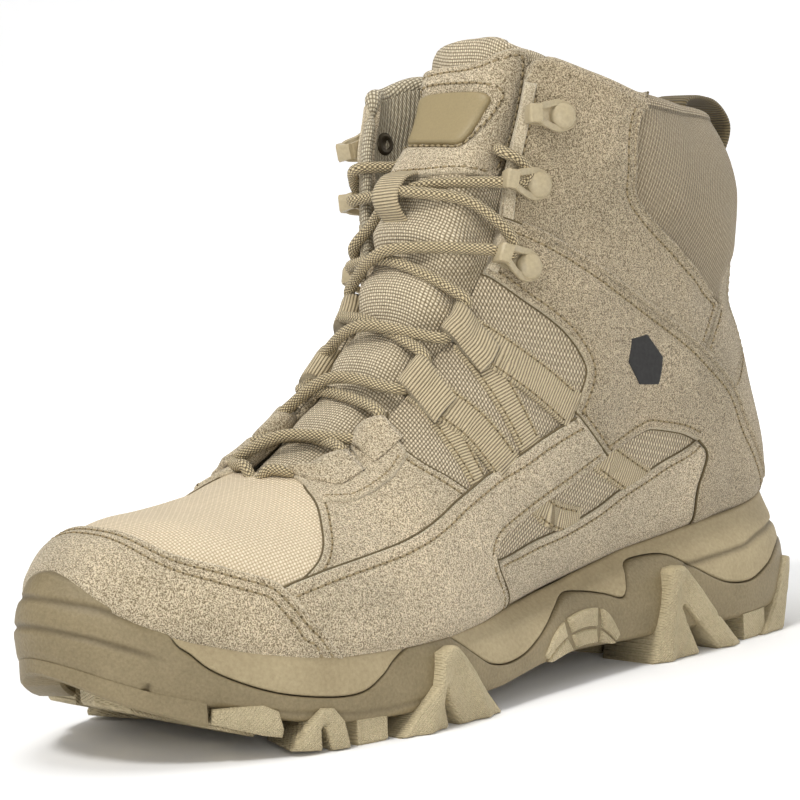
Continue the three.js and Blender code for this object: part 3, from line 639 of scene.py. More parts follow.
# Woven cloth: floats over and under, at "pitch" millimetres, along the "weave" coordinates, with painted
# light on the floats.
def makeWeave(name, pitch=1.0, depth=.0006, strength=.9, sheen=.15):
    material, tree, shader = nodesOf(name, .82, sheen=sheen)
    axes = clothAxes(tree)
    wobble = noise(tree, 260, 1.0, .5)
    x = plus(tree, times(tree, axes[0], math.pi / pitch), times(tree, wobble, .5))
    y = plus(tree, times(tree, axes[1], math.pi / pitch), times(tree, wobble, .4))
    product = times(tree, maths(tree, "SINE", x), maths(tree, "SINE", y))
    threads = maths(tree, "POWER", maths(tree, "ABSOLUTE", product), .75)
    warp = maths(tree, "GREATER_THAN", product, 0.0)
    height = times(tree, threads, plus(tree, .72, times(tree, warp, .28)))
    patches = (45, (.9, .9, .9, 1), (1.06, 1.06, 1.05, 1))
    paintWeaveShade(tree, shader, height, name, 900, (.85, .25), (.18, .92), patches)
    bumped(tree, shader, height, strength, depth)
    return material


def makeWebbing(name, rib=.9, strand=.55):  # ribs run across the strap, whose length is the first coordinate
    material, tree, shader = nodesOf(name, .8, sheen=.12)
    axes = clothAxes(tree)
    ribs = maths(tree, "ABSOLUTE", maths(tree, "SINE", times(tree, axes[0], math.pi / rib)))
    strands = maths(tree, "ABSOLUTE", maths(tree, "SINE", times(tree, axes[1], math.pi / strand)))
    height = times(tree, maths(tree, "POWER", ribs, .8), plus(tree, .78, times(tree, strands, .22)))
    patches = (60, (.9, .9, .89, 1), (1.05, 1.05, 1.04, 1))
    paintWeaveShade(tree, shader, height, name, 1000, (.85, .25), (.15, .95), patches)
    bumped(tree, shader, height, .9, .0005)
    return material


def makeBraid(name, along=1.5, about=.97):  # a round braid: coordinates are along and round the lace
    material, tree, shader = nodesOf(name, .7, sheen=.15)
    axes = clothAxes(tree)
    crossed = diamonds(tree, times(tree, axes[0], math.pi / along), times(tree, axes[1], math.pi / about))
    height = maths(tree, "POWER", crossed, .7)
    paintWeaveShade(tree, shader, height, name, 1100, (.9, .22), (.18, .9))
    bumped(tree, shader, height, .9, .0006)
    return material


def makeRubber(name, roughness, pebble=1100, strength=.5, knurl=0.0):  # knurl: a diamond pattern's pitch
    light, dark = colours[name]
    material, tree, shader = nodesOf(name, roughness)
    shader.inputs["Specular IOR Level"].default_value = .35
    fine = noise(tree, pebble, 2.0, .6)
    cloud = noise(tree, 40, 3.0, .55)
    share = plus(tree, times(tree, fine, .45), times(tree, cloud, .55))
    base = mixed(tree, ramped(tree, share, .34, .66), linear(dark), linear(light))
    # grooveShade darkens the grooves and the seam's edges: painted shade
    groove = node(tree, "ShaderNodeAttribute", attribute_name="grooveShade").outputs["Fac"]
    base = mixed(tree, maths(tree, "MULTIPLY", groove, .6, clamp=True), base, linear(colours["paintedGrooveShade"]))
    tree.links.new(base, shader.inputs["Base Color"])
    height = fine
    if knurl:
        place = node(tree, "ShaderNodeTexCoord").outputs["Object"]
        split = node(tree, "ShaderNodeSeparateXYZ", {0: place})
        scale = math.pi / (knurl * .001)
        points = diamonds(tree, times(tree, split.outputs[2], scale), times(tree, split.outputs[1], scale))
        height = plus(tree, times(tree, points, .8), times(tree, fine, .3))
    bumped(tree, shader, height, strength, .0004)
    return material


def makePlain(name, roughness, metallic=0.0, grain=500, contrast=1.0):
    colour = colours[name]
    material, tree, shader = nodesOf(name, roughness, metallic=metallic)
    fine = noise(tree, grain, 2.0, .6)
    light = tuple(min(c * (1 + .07 * contrast), 255) for c in colour)
    dark = tuple(c * (1 - .09 * contrast) for c in colour)
    base = mixed(tree, ramped(tree, fine, .3, .7), linear(dark), linear(light))
    tree.links.new(base, shader.inputs["Base Color"])
    bumped(tree, shader, fine, .2, .0002)
    return material


suede = makeSuede("suede")
# the shaft's suede: the suede painted darker, as painted shade
shaftSuedePaintedShade = makeSuede("shaftSuedePaintedShade")
palerSuede = makeSuede("boundEdge", grain=2500)
vampMesh = makeWeave("vampMesh", depth=.0004, strength=.6, sheen=.1)
nylon = makeWeave("nylonPanel", pitch=1.1)
collarCloth = makeWeave("collarCloth")
tongueCloth = makeWeave("tongueCloth", pitch=.95)
lining = makeWeave("liningMesh", pitch=1.25)
webbing = makeWebbing("webbing")
darkWebbing = makeWebbing("pullLoopWebbing", rib=1.0)
braid = makeBraid("laceBraid")
thread = makePlain("thread", .7, grain=900)
stitchHoleShade = makePlain("stitchHoleShade", .9, grain=900)
# painted shadow: the dark cords laid along the upper's panel edges
paintedEdgeShadow = makePlain("seamShade", .95, grain=900)
midsoleFoam = makeRubber("midsoleFoam", .72, pebble=900)
# outsole rubber, darker than the midsole foam as painted shade
outsoleRubber = makeRubber("outsoleRubber", .55)
# lighter knurled rubber for claws, plates and tread: painted light
grippyRubberPaintedLight = makeRubber("knurledRubberPaintedLight", .62, strength=.9, knurl=1.0)
badgeRubber = makePlain("badgeRubber", .42, grain=1500, contrast=.35)
hookMetal = makePlain("paintedMetal", .34, grain=900, contrast=.5)
darkMetal = makePlain("darkMetal", .4, metallic=.6)
printInk = makePlain("printInk", .75, grain=800)


view = dict(  # where the camera stands, in millimetres and degrees
    target=(-2.25, -16.45, 89.96), distance=958, azimuth=46.77, elevation=5.90, roll=-2.95,
    lens=146.6, shift=(.033, -.0136))


def placeCamera():
    az, el, roll = (math.radians(view[k]) for k in ("azimuth", "elevation", "roll"))
    back = Vector((math.sin(az) * math.cos(el), -math.cos(az) * math.cos(el), math.sin(el)))
    right = Vector((math.cos(az), math.sin(az), 0))
    up = back.cross(right)
    turned = right * math.cos(roll) + up * math.sin(roll)
    upward = -right * math.sin(roll) + up * math.cos(roll)
    data = bpy.data.cameras.new("camera")
    camera = bpy.data.objects.new("camera", data)
    matrix = Matrix((turned, upward, back)).transposed().to_4x4()
    matrix.translation = (Vector(view["target"]) + back * view["distance"]) * .001
    camera.matrix_world = matrix
    data.lens = view["lens"]
    data.shift_x, data.shift_y = view["shift"]
    data.clip_start, data.clip_end = .05, 20
    bpy.context.scene.collection.objects.link(camera)
    bpy.context.scene.camera = camera


lamps = [  # name, place in metres from the boot, width, power, colour
    ("keyLight", (.2, -1.15, 1.7), .45, 21, (1.0, .99, .97)),
    ("frontLight", (-.9, -1.5, .8), .7, 3, (1.0, .99, .98)),
    ("sideLight", (1.5, -.9, .5), .6, 7, (1.0, 1.0, .99)),
    ("topLight", (-.1, -.1, 1.8), .9, 9, (1, 1, 1)),
    ("backLight", (.4, 1.5, 1.0), 1.2, 3, (1, 1, 1)),
]


def lightScene():
    scene = bpy.context.scene
    for name, place, width, power, colour in lamps:
        data = bpy.data.lights.new(name, "AREA")
        data.shape, data.size, data.energy, data.color = "DISK", width, power, colour
        lamp = bpy.data.objects.new(name, data)
        lamp.location = place
        aim = Vector((0, 0, .09)) - Vector(place)
        lamp.rotation_euler = aim.to_track_quat("-Z", "Y").to_euler()
        scene.collection.objects.link(lamp)
    world = bpy.data.worlds.new("softWorld")
    world.use_nodes = True
    background = world.node_tree.nodes["Background"]
    background.inputs[0].default_value = (1, 1, 1, 1)
    background.inputs[1].default_value = .4
    scene.world = world
    scene.view_settings.view_transform = "Standard"
    layFloor(scene)


def layFloor(scene):  # a pale floor that bends up far behind and glows a little away from the boot
    mesh = bpy.data.meshes.new("floor")
    size, rise, bend = 6.0, 4.0, 8
    rows = [(y, 0.0) for y in (-size, 1.5)]
    rows += [(1.5 + 1.5 * math.sin(a), 1.5 - 1.5 * math.cos(a)) for a in np.linspace(.1, math.pi / 2, bend)]
    rows += [(3.0, rise)]
    points = [(x, y, z) for y, z in rows for x in (-size, size)]
    faces = [(2 * i, 2 * i + 1, 2 * i + 3, 2 * i + 2) for i in range(len(rows) - 1)]
    mesh.from_pydata(points, [], faces)
    mesh.polygons.foreach_set("use_smooth", [True] * len(mesh.polygons))
    floor = bpy.data.objects.new("floor", mesh)
    material, tree, shader = nodesOf("paleFloor", .9)
    shader.inputs["Base Color"].default_value = (.93, .93, .93, 1)
    place = node(tree, "ShaderNodeTexCoord").outputs["Object"]
    split = node(tree, "ShaderNodeSeparateXYZ", {0: place})
    squares = [times(tree, split.outputs[k], split.outputs[k]) for k in (0, 1)]
    reach = maths(tree, "SQRT", plus(tree, *squares))
    shader.inputs["Emission Color"].default_value = (1, 1, 1, 1)
    glow = times(tree, ramped(tree, reach, .16, .75), .45)
    tree.links.new(glow, shader.inputs["Emission Strength"])
    mesh.materials.append(material)
    scene.collection.objects.link(floor)


placeCamera()
lightScene()
print("camera, light and floor are set")


# Edges of the upper's panels, as lines of (section, turn round the section) on the outer side.
cuts = dict(
    toeSeam=[(3.42, .968), (3.50, .808), (3.78, .720), (4.42, .663), (5.08, .622), (5.32, .580),
             (5.60, .525), (5.85, .492), (6.20, .405), (6.35, .28)],
    quarterFront=[(5.40, .604), (5.57, .622), (6.00, .670), (6.25, .713), (6.48, .768), (6.70, .822),
                  (6.85, .875), (7.05, .91)],
    bandTop=[(5.20, .60), (5.57, .622), (6.12, .643), (6.82, .653), (7.55, .648), (8.50, .638),
             (9.30, .628), (10.65, .592), (11.42, .575), (12.20, .562)],
    nylonFront=[(8.78, .862), (8.67, .850), (8.52, .815), (8.52, .780), (8.72, .718), (9.25, .630),
                (9.45, .60)],
    nylonRear=[(12.70, .812), (12.78, .800), (12.85, .772), (12.95, .730), (13.10, .688), (13.18, .655),
               (13.15, .628), (13.02, .602), (12.85, .592), (12.65, .585), (12.20, .570)],
    shortSeam=[(12.20, .570), (12.27, .532), (12.35, .503)],
    windowTopFront=[(12.35, .501), (11.52, .502), (10.75, .510), (9.95, .520), (9.67, .518), (9.55, .505)],
    windowTopRear=[(12.35, .503), (13.10, .500), (13.47, .495), (13.85, .468), (14.02, .440)],
    windowLow=[(9.60, .498), (9.75, .496), (10.42, .475), (11.10, .443), (11.82, .433), (12.42, .443),
               (13.28, .448), (14.02, .440)],
    frontSeam=[(9.55, .505), (9.67, .453), (9.85, .36), (10.0, .26)],
    rearSeam=[(14.02, .440), (14.02, .413), (13.78, .393), (13.55, .370), (13.35, .325), (13.18, .245),
              (13.10, .18)],
    highSeam=[(14.80, .814), (14.95, .760), (15.05, .715), (15.18, .638), (15.28, .560), (15.38, .502),
              (15.40, .463), (15.35, .393), (15.05, .342), (14.92, .232), (14.88, .16)],
    collarFront=[(18.80, .560), (18.62, .565), (18.35, .578), (18.05, .580), (17.70, .575), (17.25, .570),
                 (17.05, .548), (16.92, .520), (16.73, .450), (16.55, .357)],
    pipingLow=[(15.40, .463), (16.0, .41), (16.55, .357)],
    pipingHigh=[(16.55, .357), (17.1, .30), (17.60, .245), (17.95, .236), (18.35, .23)],
    stayEdge=[(15.35, .393), (15.85, .32), (16.35, .250), (16.82, .242), (17.60, .235)],
)


def cut(name, side, start=None, end=None):
    return sideLine(sampled(cuts[name][slice(start, end)]), side)


def stretch(points, side):
    return sideLine(sampled(points, 6), side)


def seamInside(line, outline, distance):  # a seam line beside a panel's edge, on the panel's side
    line = spaced(upper, line, 1.3)
    left = offsetLine(upper, line, distance)
    right = offsetLine(upper, line, -distance)
    return left if insideOf(left, outline).sum() >= insideOf(right, outline).sum() else right


def polygon(place, corners, step=1.2):  # an outline whose edges run straight from corner to corner
    corners = np.asarray(corners, float)
    edges = zip(corners, np.roll(corners, -1, 0))
    return np.vstack([spaced(place, np.array([a, b]), step)[:-1] for a, b in edges])


stitches = Gather()
stitchLook = dict(pitch=2.5, length=1.7, radius=.36, hole=.36)


def capsule(start, end, normal, radius, sides=6):
    axis = end - start
    length = norm(axis)
    axis = axis / length
    wide = np.cross(axis, normal)
    rings = []
    for at, size in ((0, .35), (.12, .85), (.5, 1.0), (.88, .85), (1, .35)):
        angle = anglesRound(sides)[:, None]
        middle = start + axis * length * at + normal * radius * (.35 * math.sin(math.pi * at) - .1)
        rings.append(middle + radius * size * (np.cos(angle) * wide + np.sin(angle) * normal))
    return skinOver(rings)


def stitchRow(place, line, height):
    points = place(*line.T)
    normals = normalsOf(place, *line.T)
    along = runOf(points)
    pitch, half = stitchLook["pitch"], stitchLook["length"] / 2
    heights = np.broadcast_to(np.asarray(height, float), len(line))
    for middle in np.arange(pitch, along[-1] - half, pitch):
        normal = between(middle, along, normals)
        normal /= norm(normal)
        height = float(np.interp(middle, along, heights))
        start, end = between(middle - half, along, points), between(middle + half, along, points)
        stitches.add(*capsule(start + normal * height, end + normal * height, normal, stitchLook["radius"]))
        # the dark hole beside each stitch is painted shade
        hole = between(middle + pitch / 2, along, points) + normal * (height - .12)
        ahead = (end - start) / norm(end - start)
        size = stitchLook["hole"]
        stitches.add(*capsule(hole - ahead * size, hole + ahead * size, normal, size), kind=1)


stitchSink = .25
upperPanels = dict(  # height of each panel's top over the surface, in the order they are laid
    vampMesh=.7, nylonPanel=.7, windowNylon=.2, quarterFront=1.4, lowerRear=1.5, sideBand=2.0,
    anklePanel=2.1, shaftFront=1.5, rearPanel=1.5, backStay=2.1, toeCap=2.4)


soleHeights = np.array([  # fwd, lowest tread, slab underneath, cup rim, lean of the rim
    [-8, 9, 12, 44, 1.5], [0, 4, 9, 42, 1.5], [8, 0, 7.5, 41, 1.4], [40, 0, 7, 39, 1.2],
    [80, 0, 8, 35, 1], [110, 0, 9.5, 29.5, 1], [130, 0, 8.5, 27, 1], [150, 0, 6, 25.2, 1],
    [172, 0, 5.5, 24.5, 1], [190, 0, 5.5, 24.5, 1], [212, 0, 6.5, 25.5, 1.1], [227, 3, 9, 28, 1.4],
    [240, 7.5, 12.5, 31, 1.8], [252, 11.5, 16.5, 34.5, 2.4], [262, 15.5, 20, 40, 3],
    [270, 19.5, 24, 47, 3.4], [278, 26, 29, 54, 3.6]])


def soleHeight(fwd, name):
    column = ("fwd", "tread", "slab", "rim", "lean").index(name)
    return np.interp(fwd, soleHeights[:, 0], soleHeights[:, column])


def rimFade(place):  # leather thins towards the sole's edge and swells just over it
    def shape(a, b, gap):
        point = place(a, b)
        over = point[:, 2] - soleHeight(shoe["originFwd"] - point[:, 1], "rim")
        return .5 * np.exp(-((over - 5) / 4.5) ** 2) - 1.3 * (1 - ramp(over, -3, 3))
    return shape


def sew(name, outline, material, slot, rows=(), **more):  # one panel and its rows of stitches
    top, fade = upperPanels[name.split("_")[0]], rimFade(upper)
    seams = [seamInside(line, outline, distance) for line, distance in rows]
    seams = [seam[insideOf(seam, outline)] for seam in seams]
    seams = [seam for seam in seams if len(seam) > 3]
    panel(name, upper, outline, material, slot, top=top, seams=seams, shape=fade, **more)
    for seam in seams:
        stitchRow(upper, seam, top - stitchSink + fade(*seam.T, 0))


def sewSide(side):
    outline = loop(upper, edgeLine(8.3, 13.0, side), stretch([(13.1, throatTurn(13.0, 1)), (13.3, .74),
                   (13.42, .68), (13.4, .61), (13.0, .56), (12.4, .535)], side),
                   stretch([(12.4, .535), (11.4, .545), (10.6, .56), (9.3, .59), (8.8, .61)], side),
                   stretch([(8.8, .61), (8.3, .72), (8.2, .80), (8.3, throatTurn(8.3, 1))], side))
    sew(sided("nylonPanel", side), outline, nylon, "nylon_fabric", spacing=2.4)
    outline = loop(upper, stretch([(9.4, .535), (11, .53), (12.6, .52), (13.5, .515), (14.1, .47)], side),
                   stretch([(14.1, .47), (14.12, .425), (12.4, .41), (11, .42), (9.9, .46), (9.4, .535)],
                           side))
    sew(sided("windowNylon", side), outline, nylon, "nylon_fabric", spacing=2.6)
    outline = loop(upper, cut("quarterFront", side), edgeLine(7.1, 8.78, side), cut("nylonFront", side),
                   stretch([(9.45, .60), (8.5, .61), (7.55, .62), (6.82, .625), (6.12, .615), (5.40, .604)],
                           side))
    sew(sided("quarterFront", side), outline, suede, "suede",
        rows=[(cut("quarterFront", side, 1), 2.4), (cut("nylonFront", side), 2.2)])
    outline = loop(upper, cut("windowLow", side), cut("rearSeam", side),
                   stretch([(13.1, .18), (12, .17), (11, .18), (10.0, .26)], side),
                   cut("frontSeam", side)[::-1])
    sew(sided("lowerRear", side), outline, suede, "suede", rows=[(cut("windowLow", side), 2.4)])
    outline = loop(upper, cut("bandTop", side), cut("shortSeam", side), cut("windowTopFront", side),
                   cut("frontSeam", side), stretch([(10, .26), (8, .27), (6.1, .28)], side),
                   stretch([(6.1, .28), (5.95, .40), (5.55, .50), (5.35, .55), (5.20, .60)], side))
    sew(sided("sideBand", side), outline, suede, "suede",
        rows=[(cut("bandTop", side), 3.6), (cut("windowTopFront", side), 2.4), (cut("frontSeam", side), 2.2)])
    outline = loop(upper, edgeLine(12.7, 14.8, side), cut("highSeam", side),
                   stretch([(14.88, .16), (14.5, .14), (13.8, .15), (13.10, .18)], side),
                   cut("rearSeam", side)[::-1], cut("windowTopRear", side)[::-1],
                   cut("shortSeam", side)[::-1], cut("nylonRear", side)[::-1])
    sew(sided("anklePanel", side), outline, shaftSuedePaintedShade, "suede",
        rows=[(cut("nylonRear", side), 2.6), (cut("highSeam", side), 3.2), (cut("windowTopRear", side), 2.4),
              (cut("shortSeam", side), 2.2)])
    collar = collarTop(side)
    outline = loop(upper, edgeLine(14.6, collar[0, 0], side, -.004), collar,
                   cut("collarFront", side), cut("pipingLow", side)[::-1],
                   stretch([(15.40, .463), (15.2, .50), (15.1, .56), (15.0, .638), (14.8, .72),
                            (14.6, .815)], side))
    sew(sided("shaftFront", side), outline, shaftSuedePaintedShade, "suede",
        rows=[(edgeLine(14.9, 18.3, side), 3.6), (cut("collarFront", side), 2.6),
              (cut("pipingLow", side), 2.4)])
    outline = loop(upper, cut("pipingLow", side), cut("pipingHigh", side, 0, 4),
                   stretch([(17.95, .236), (17.6, .21), (16.8, .20), (16.2, .21), (15.6, .29),
                            (15.2, .38)], side),
                   stretch([(15.2, .38), (15.25, .42), (15.40, .463)], side))
    sew(sided("rearPanel", side), outline, shaftSuedePaintedShade, "suede", rows=[(cut("pipingLow", side), 2.2)])


flapCorner = dict(width=.06, drop=.42, innerLow=.5)  # rounding of the front flaps' top corners


def collarSection(around):  # where the collar line crosses the surface at an angle
    turn = abs((around + 1) % 2 - 1)
    edge = throatEdges[-2, 1 if around % 2 <= 1 else 2]
    near = min(max((turn - edge) / flapCorner["width"] + 1, 0), 1)
    drop = flapCorner["drop"] * (1 - math.sqrt(1 - near * near))
    drop += flapCorner["innerLow"] * float(ramp(turn, .60, .78)) * (around % 2 > 1)
    at = np.linspace(17.2, 20, 200)
    point = lastPoint(at, np.full(200, around))
    fwd = shoe["originFwd"] - point[:, 1]
    over = point[:, 2] - np.interp(fwd, *collarLine.T)
    return float(np.interp(0, over, at)) - drop


cuts["collarFront"][0] = (collarSection(.56) + .02, .56)


def collarTop(side, end=.56):
    start = throatEdges[-2, 1 if side > 0 else 2]
    turns = np.concatenate([np.linspace(start, start - flapCorner["width"], 8)[:-1],
                            np.linspace(start - flapCorner["width"], end, 10)])
    heights = [collarSection(u if side > 0 else 2 - u) for u in turns]
    return sideLine(np.stack([heights, turns], 1), side)


def sewFront():
    outline = loop(upper, sampled([(5.2, .58), (4.9, .60), (4.2, .64), (3.6, .70), (3.3, .80), (3.2, 1.0),
                                   (3.3, 1.2), (3.6, 1.3), (4.2, 1.36), (4.9, 1.40), (5.2, 1.42)]),
                   sampled([(5.2, 1.42), (5.7, 1.385), (6.3, 1.31), (6.7, 1.22), (7.2, 1.11)]),
                   sampled([(7.2, 1.11), (6.95, 1.07), (6.93, 1.0), (6.95, .93), (7.2, .89)]),
                   sampled([(7.2, .89), (6.7, .78), (6.3, .69), (5.7, .615), (5.2, .58)]))
    sew("vampMesh", outline, vampMesh, "nylon_fabric", spacing=2.4)
    seam = np.vstack([cut("toeSeam", 1)[::-1], cut("toeSeam", -1)])
    outline = loop(upper, seam, sampled([(6.35, 1.72), (4, 1.68), (2, 1.68), (.3, 1.7)]),
                   sampled([(.3, 1.7), (.25, 1.4), (.22, 1.0), (.25, .6), (.3, .3)]),
                   sampled([(.3, .3), (2, .32), (4, .32), (6.35, .28)]))
    sew("toeCap", outline, suede, "suede", rows=[(seam, 2.3), (seam, 4.9)])


def sewBack():
    edge = cut("stayEdge", 1)
    other = edge * (1, -1)
    outline = loop(upper,
                   np.vstack([edge, sampled([(17.60, .235), (17.9, .15), (18.3, .10), (18.6, .09)])[1:]]),
                   sampled([(18.6, .09), (18.65, 0), (18.6, -.09)]),
                   np.vstack([sampled([(18.6, -.09), (18.3, -.10), (17.9, -.15), (17.60, -.235)]),
                              other[::-1][1:]]),
                   sampled([(15.35, -.393), (15.05, -.342), (14.92, -.232), (14.88, -.1), (14.87, 0),
                            (14.88, .1), (14.92, .232), (15.05, .342), (15.35, .393)]))
    sew("backStay", outline, shaftSuedePaintedShade, "suede", rows=[(edge, 2.4), (other, 2.4)])


sewFront()
sewBack()
for side in (1, -1):
    sewSide(side)
print("the upper's panels are cut and sewn")


soleRows = np.array([  # outline from above: outer x, fwd, then inner x, fwd, heel to toe
    [0, -7, 0, -7], [20, -4, -18, -4], [33, 7, -31, 7], [39.5, 25, -36.5, 25], [41, 50, -36, 50],
    [41, 80, -32.5, 80], [42, 105, -32, 110], [45.5, 130, -36.5, 138], [50, 155, -44, 165],
    [52.5, 180, -48, 192], [51, 205, -47, 215], [46, 225, -41, 238], [37, 245, -32, 256],
    [27, 260.5, -22.5, 268.5], [14.5, 271.3, -13, 275.3], [-1, 277, -1, 277]])
seamLine = np.array([  # (fwd, z) of the line between outsole and midsole
    [-30, 30], [5, 27], [20, 21.4], [30, 18.5], [40, 19.2], [48, 22], [58, 27.5], [66, 31.5], [76, 32.2],
    [83, 31], [86, 26], [89.5, 22], [97, 24.3], [105, 26.2], [112, 26.4], [122, 22], [131, 17.4],
    [140, 13.8], [149, 12.8], [157, 14.3], [163, 18], [169, 22.6], [176, 26.5], [185, 26.5], [195, 22],
    [200, 18.3], [207, 14.8], [217, 14.8], [232, 18], [245, 24], [252, 30], [258, 40], [262, 80], [330, 80]])
soleLook = dict(seamGap=.12, edgeRound=.75, seamShade=.5, proud=.5,
                alongStep=1.1 * shoe["detail"], upStep=.6 * shoe["detail"])
toeRow, fineSteps = len(soleRows) - 1, 40  # the row at the toe's tip, and the fine steps between rows

outlineRows = np.vstack([soleRows[:, :2], soleRows[1:-1, 2:][::-1]])
ringCount = len(outlineRows)
tripled = np.vstack([outlineRows] * 3)
fineAt = np.linspace(0, ringCount, ringCount * fineSteps + 1)
fineOutline = smoothRows(tripled, fineAt + ringCount)
fineLength = runOf(fineOutline)
soleRound = fineLength[-1]
fineTangent = np.gradient(fineOutline, axis=0)
fineTangent[0] = fineTangent[-1] = (fineTangent[1] + fineTangent[-2]) / 2
fineTangent = unit(fineTangent)
toeAt = np.interp(toeRow, fineAt, fineLength)


def onOutline(s):  # place on the outline and its outward direction, by distance round it
    s = np.mod(s, soleRound)
    place, tangent = between(s, fineLength, fineOutline), between(s, fineLength, fineTangent)
    return place, np.stack([tangent[..., 1], -tangent[..., 0]], -1)


def wallInset(fwd, z, lean=None):  # how far the sole's side stands in from its outline
    slab, rim = soleHeight(fwd, "slab"), soleHeight(fwd, "rim")
    share = (z - slab) / (rim - slab)
    lean = soleHeight(fwd, "lean") if lean is None else lean
    low = np.interp(share, [0, .05, .15, .4], [3.0, 1.3, .5, 0])
    return low + lean * np.interp(share, [0, .35, .5, .65, .8, .92, 1], [0, 0, .06, .2, .47, .8, 1])


def reachUpper():  # how far the rim leans in all round, so that it meets the upper
    flat = tablePoints.reshape(-1, 3)
    fwd = shoe["originFwd"] - flat[:, 1]
    near = np.abs(flat[:, 2] - soleHeight(fwd, "rim")) < 1.2
    ring = np.stack([flat[near, 0] + shoe["originX"], fwd[near]], 1)
    at = np.arange(0, soleRound, 4.0)
    place, _ = onOutline(at)
    gap = np.array([norm(ring - p, axis=1).min() for p in place])
    lean = np.clip(gap - 1.4, .6, 9)
    smooth = np.convolve(np.concatenate([lean[-3:], lean, lean[:3]]), np.ones(7) / 7, "valid")
    return at, smooth


def rimLean(s):
    return np.interp(np.mod(s, soleRound), leanAt, leanValue, period=soleRound)


leanAt, leanValue = reachUpper()


def soleWall(s, z, out):
    place, outward = onOutline(s)
    moved = place + outward * (out - wallInset(place[..., 1], z, rimLean(s)))[..., None]
    return frameMm(moved[..., 0], moved[..., 1], z)


grooves = [  # line of (fwd, z), depth, half width; all run along both sides
    ([(60, 27.2), (52, 27.6), (45, 28), (29.5, 29), (20.5, 31), (8, 32.5), (-8, 33)], 1.1, .8),
    ([(279, 47), (272, 44.5), (266, 41.5), (257, 37)], .9, .75),
    ([(279, 39.5), (272, 36.5), (266, 33.5), (257, 29)], .9, .75),
    ([(262.3, 23.2), (264, 17.5)], 1.6, .6),
    ([(252, 16.5), (238, 14.0), (226, 11.8), (212, 9.6), (200, 9.0), (180, 9.4)], .45, .7),
]


def soleRelief(fwd, z):  # the grooves' depth and how dark they are
    out, dark = np.zeros(len(fwd)), np.zeros(len(fwd))
    points = np.stack([fwd, z], 1)
    for line, depth, width in grooves:
        line = np.asarray(line, float)
        gap, _ = distanceTo(points, line)
        carved = np.exp(-(gap / width) ** 2)
        if line[0, 0] > 275:  # the toe's own grooves fade out behind the toe
            carved *= ramp(fwd, 256, 266)
        out -= depth * carved
        # each groove's darkness is painted shade
        dark = np.maximum(dark, carved * min(depth, 1))
    return out, dark


seamFine = sampled(seamLine, 10)
seamFine[:, 0] = np.maximum.accumulate(seamFine[:, 0])


def seamZ(fwd):
    return np.interp(fwd, *seamFine.T)


def wallGrid(s, low, high, rows, out):  # the sole's side between two heights, with rounded edges
    edgeRound = soleLook["edgeRound"]
    place, _ = onOutline(s)
    fwd = place[:, 1]
    share = np.linspace(0, 1, rows)
    z = low[None] + (high - low)[None] * share[:, None]
    fwdGrid = np.broadcast_to(fwd, z.shape)
    relief, dark = soleRelief(fwdGrid.ravel(), z.ravel())
    toTop = (high[None] - z) / edgeRound
    toLow = (z - low[None]) / edgeRound
    rounding = lambda d: 1 - np.sqrt(1 - (1 - np.clip(d, 0, 1)) ** 2)
    outGrid = out + relief.reshape(z.shape) - edgeRound * (rounding(toTop) + rounding(toLow))
    sGrid = np.broadcast_to(s, z.shape)
    # painted shade: the wall darkens towards its rounded top and bottom edges
    atEdge = np.clip(1 - np.minimum(toTop, toLow), 0, 1) ** 2
    shade = np.maximum(dark.reshape(z.shape), soleLook["seamShade"] * atEdge)
    return soleWall(sGrid, z, outGrid), shade


def innerRing(s, inset, z):  # a ring inside the outline
    place, outward = onOutline(s)
    moved = place - outward * inset[:, None]
    return frameMm(*moved.T, z)


def capAcross(ring, flip):  # closes a ring of points with strips from side to side
    count = len(ring)
    half = count // 2
    columns = 10
    points, faces = [], []
    for k in range(1, half):
        a, b = ring[k], ring[count - k]
        points += [a + (b - a) * t for t in np.linspace(0, 1, columns)[1:-1]]
    number = lambda k, c: ("ring", k) if c == 0 else ("ring", count - k) if c == columns - 1 else (
        "new", (k - 1) * (columns - 2) + c - 1)
    for k in range(1, half - 1):
        for c in range(columns - 1):
            faces.append((number(k, c), number(k + 1, c), number(k + 1, c + 1), number(k, c + 1)))
    for c in range(columns - 1):
        faces.append((("ring", 0), number(1, c), number(1, c + 1)))
        faces.append((("ring", half), number(half - 1, c + 1), number(half - 1, c)))
    return points, flipped(faces) if flip else faces


def buildOutsole():
    count = int(soleRound / soleLook["alongStep"] / 2) * 2
    half = np.linspace(0, toeAt, count // 2, endpoint=False)
    other = np.linspace(toeAt, soleRound, count // 2, endpoint=False)
    s = np.concatenate([half, other])
    place, _ = onOutline(s)
    fwd = place[:, 1]
    low, rim = soleHeight(fwd, "slab"), soleHeight(fwd, "rim")
    high = np.minimum(seamZ(fwd) - soleLook["seamGap"], rim)
    rows = int(26 / soleLook["upStep"])
    wall, shade = wallGrid(s, low, high, rows, soleLook["proud"])
    under = innerRing(s, np.full(count, 6.0), low)
    lip = innerRing(s, 3.6 + rimLean(s) * ramp(high, rim - 8, rim), high - .2)
    deep = innerRing(s, np.full(count, 7.0), low + 2)
    rings = np.concatenate([[under], wall, [lip], [deep]])
    rows = len(rings)
    points, faces = skinOver(rings, caps=False)
    points = list(points)
    for r, flip in ((0, True), (rows - 1, False)):
        new, capFaces = capAcross(rings[r], flip)
        base = len(points)
        points += new
        for face in capFaces:
            faces.append(tuple(r * count + i if kind == "ring" else base + i for kind, i in face))
    values = np.zeros(len(points))
    values[count:count * (1 + len(wall))] = shade.ravel()
    piece = addPiece("outsoleBody", np.array(points), flipped(faces), outsoleRubber, "outsole_rubber",
                     extra={"grooveShade": values})
    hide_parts("outsole")


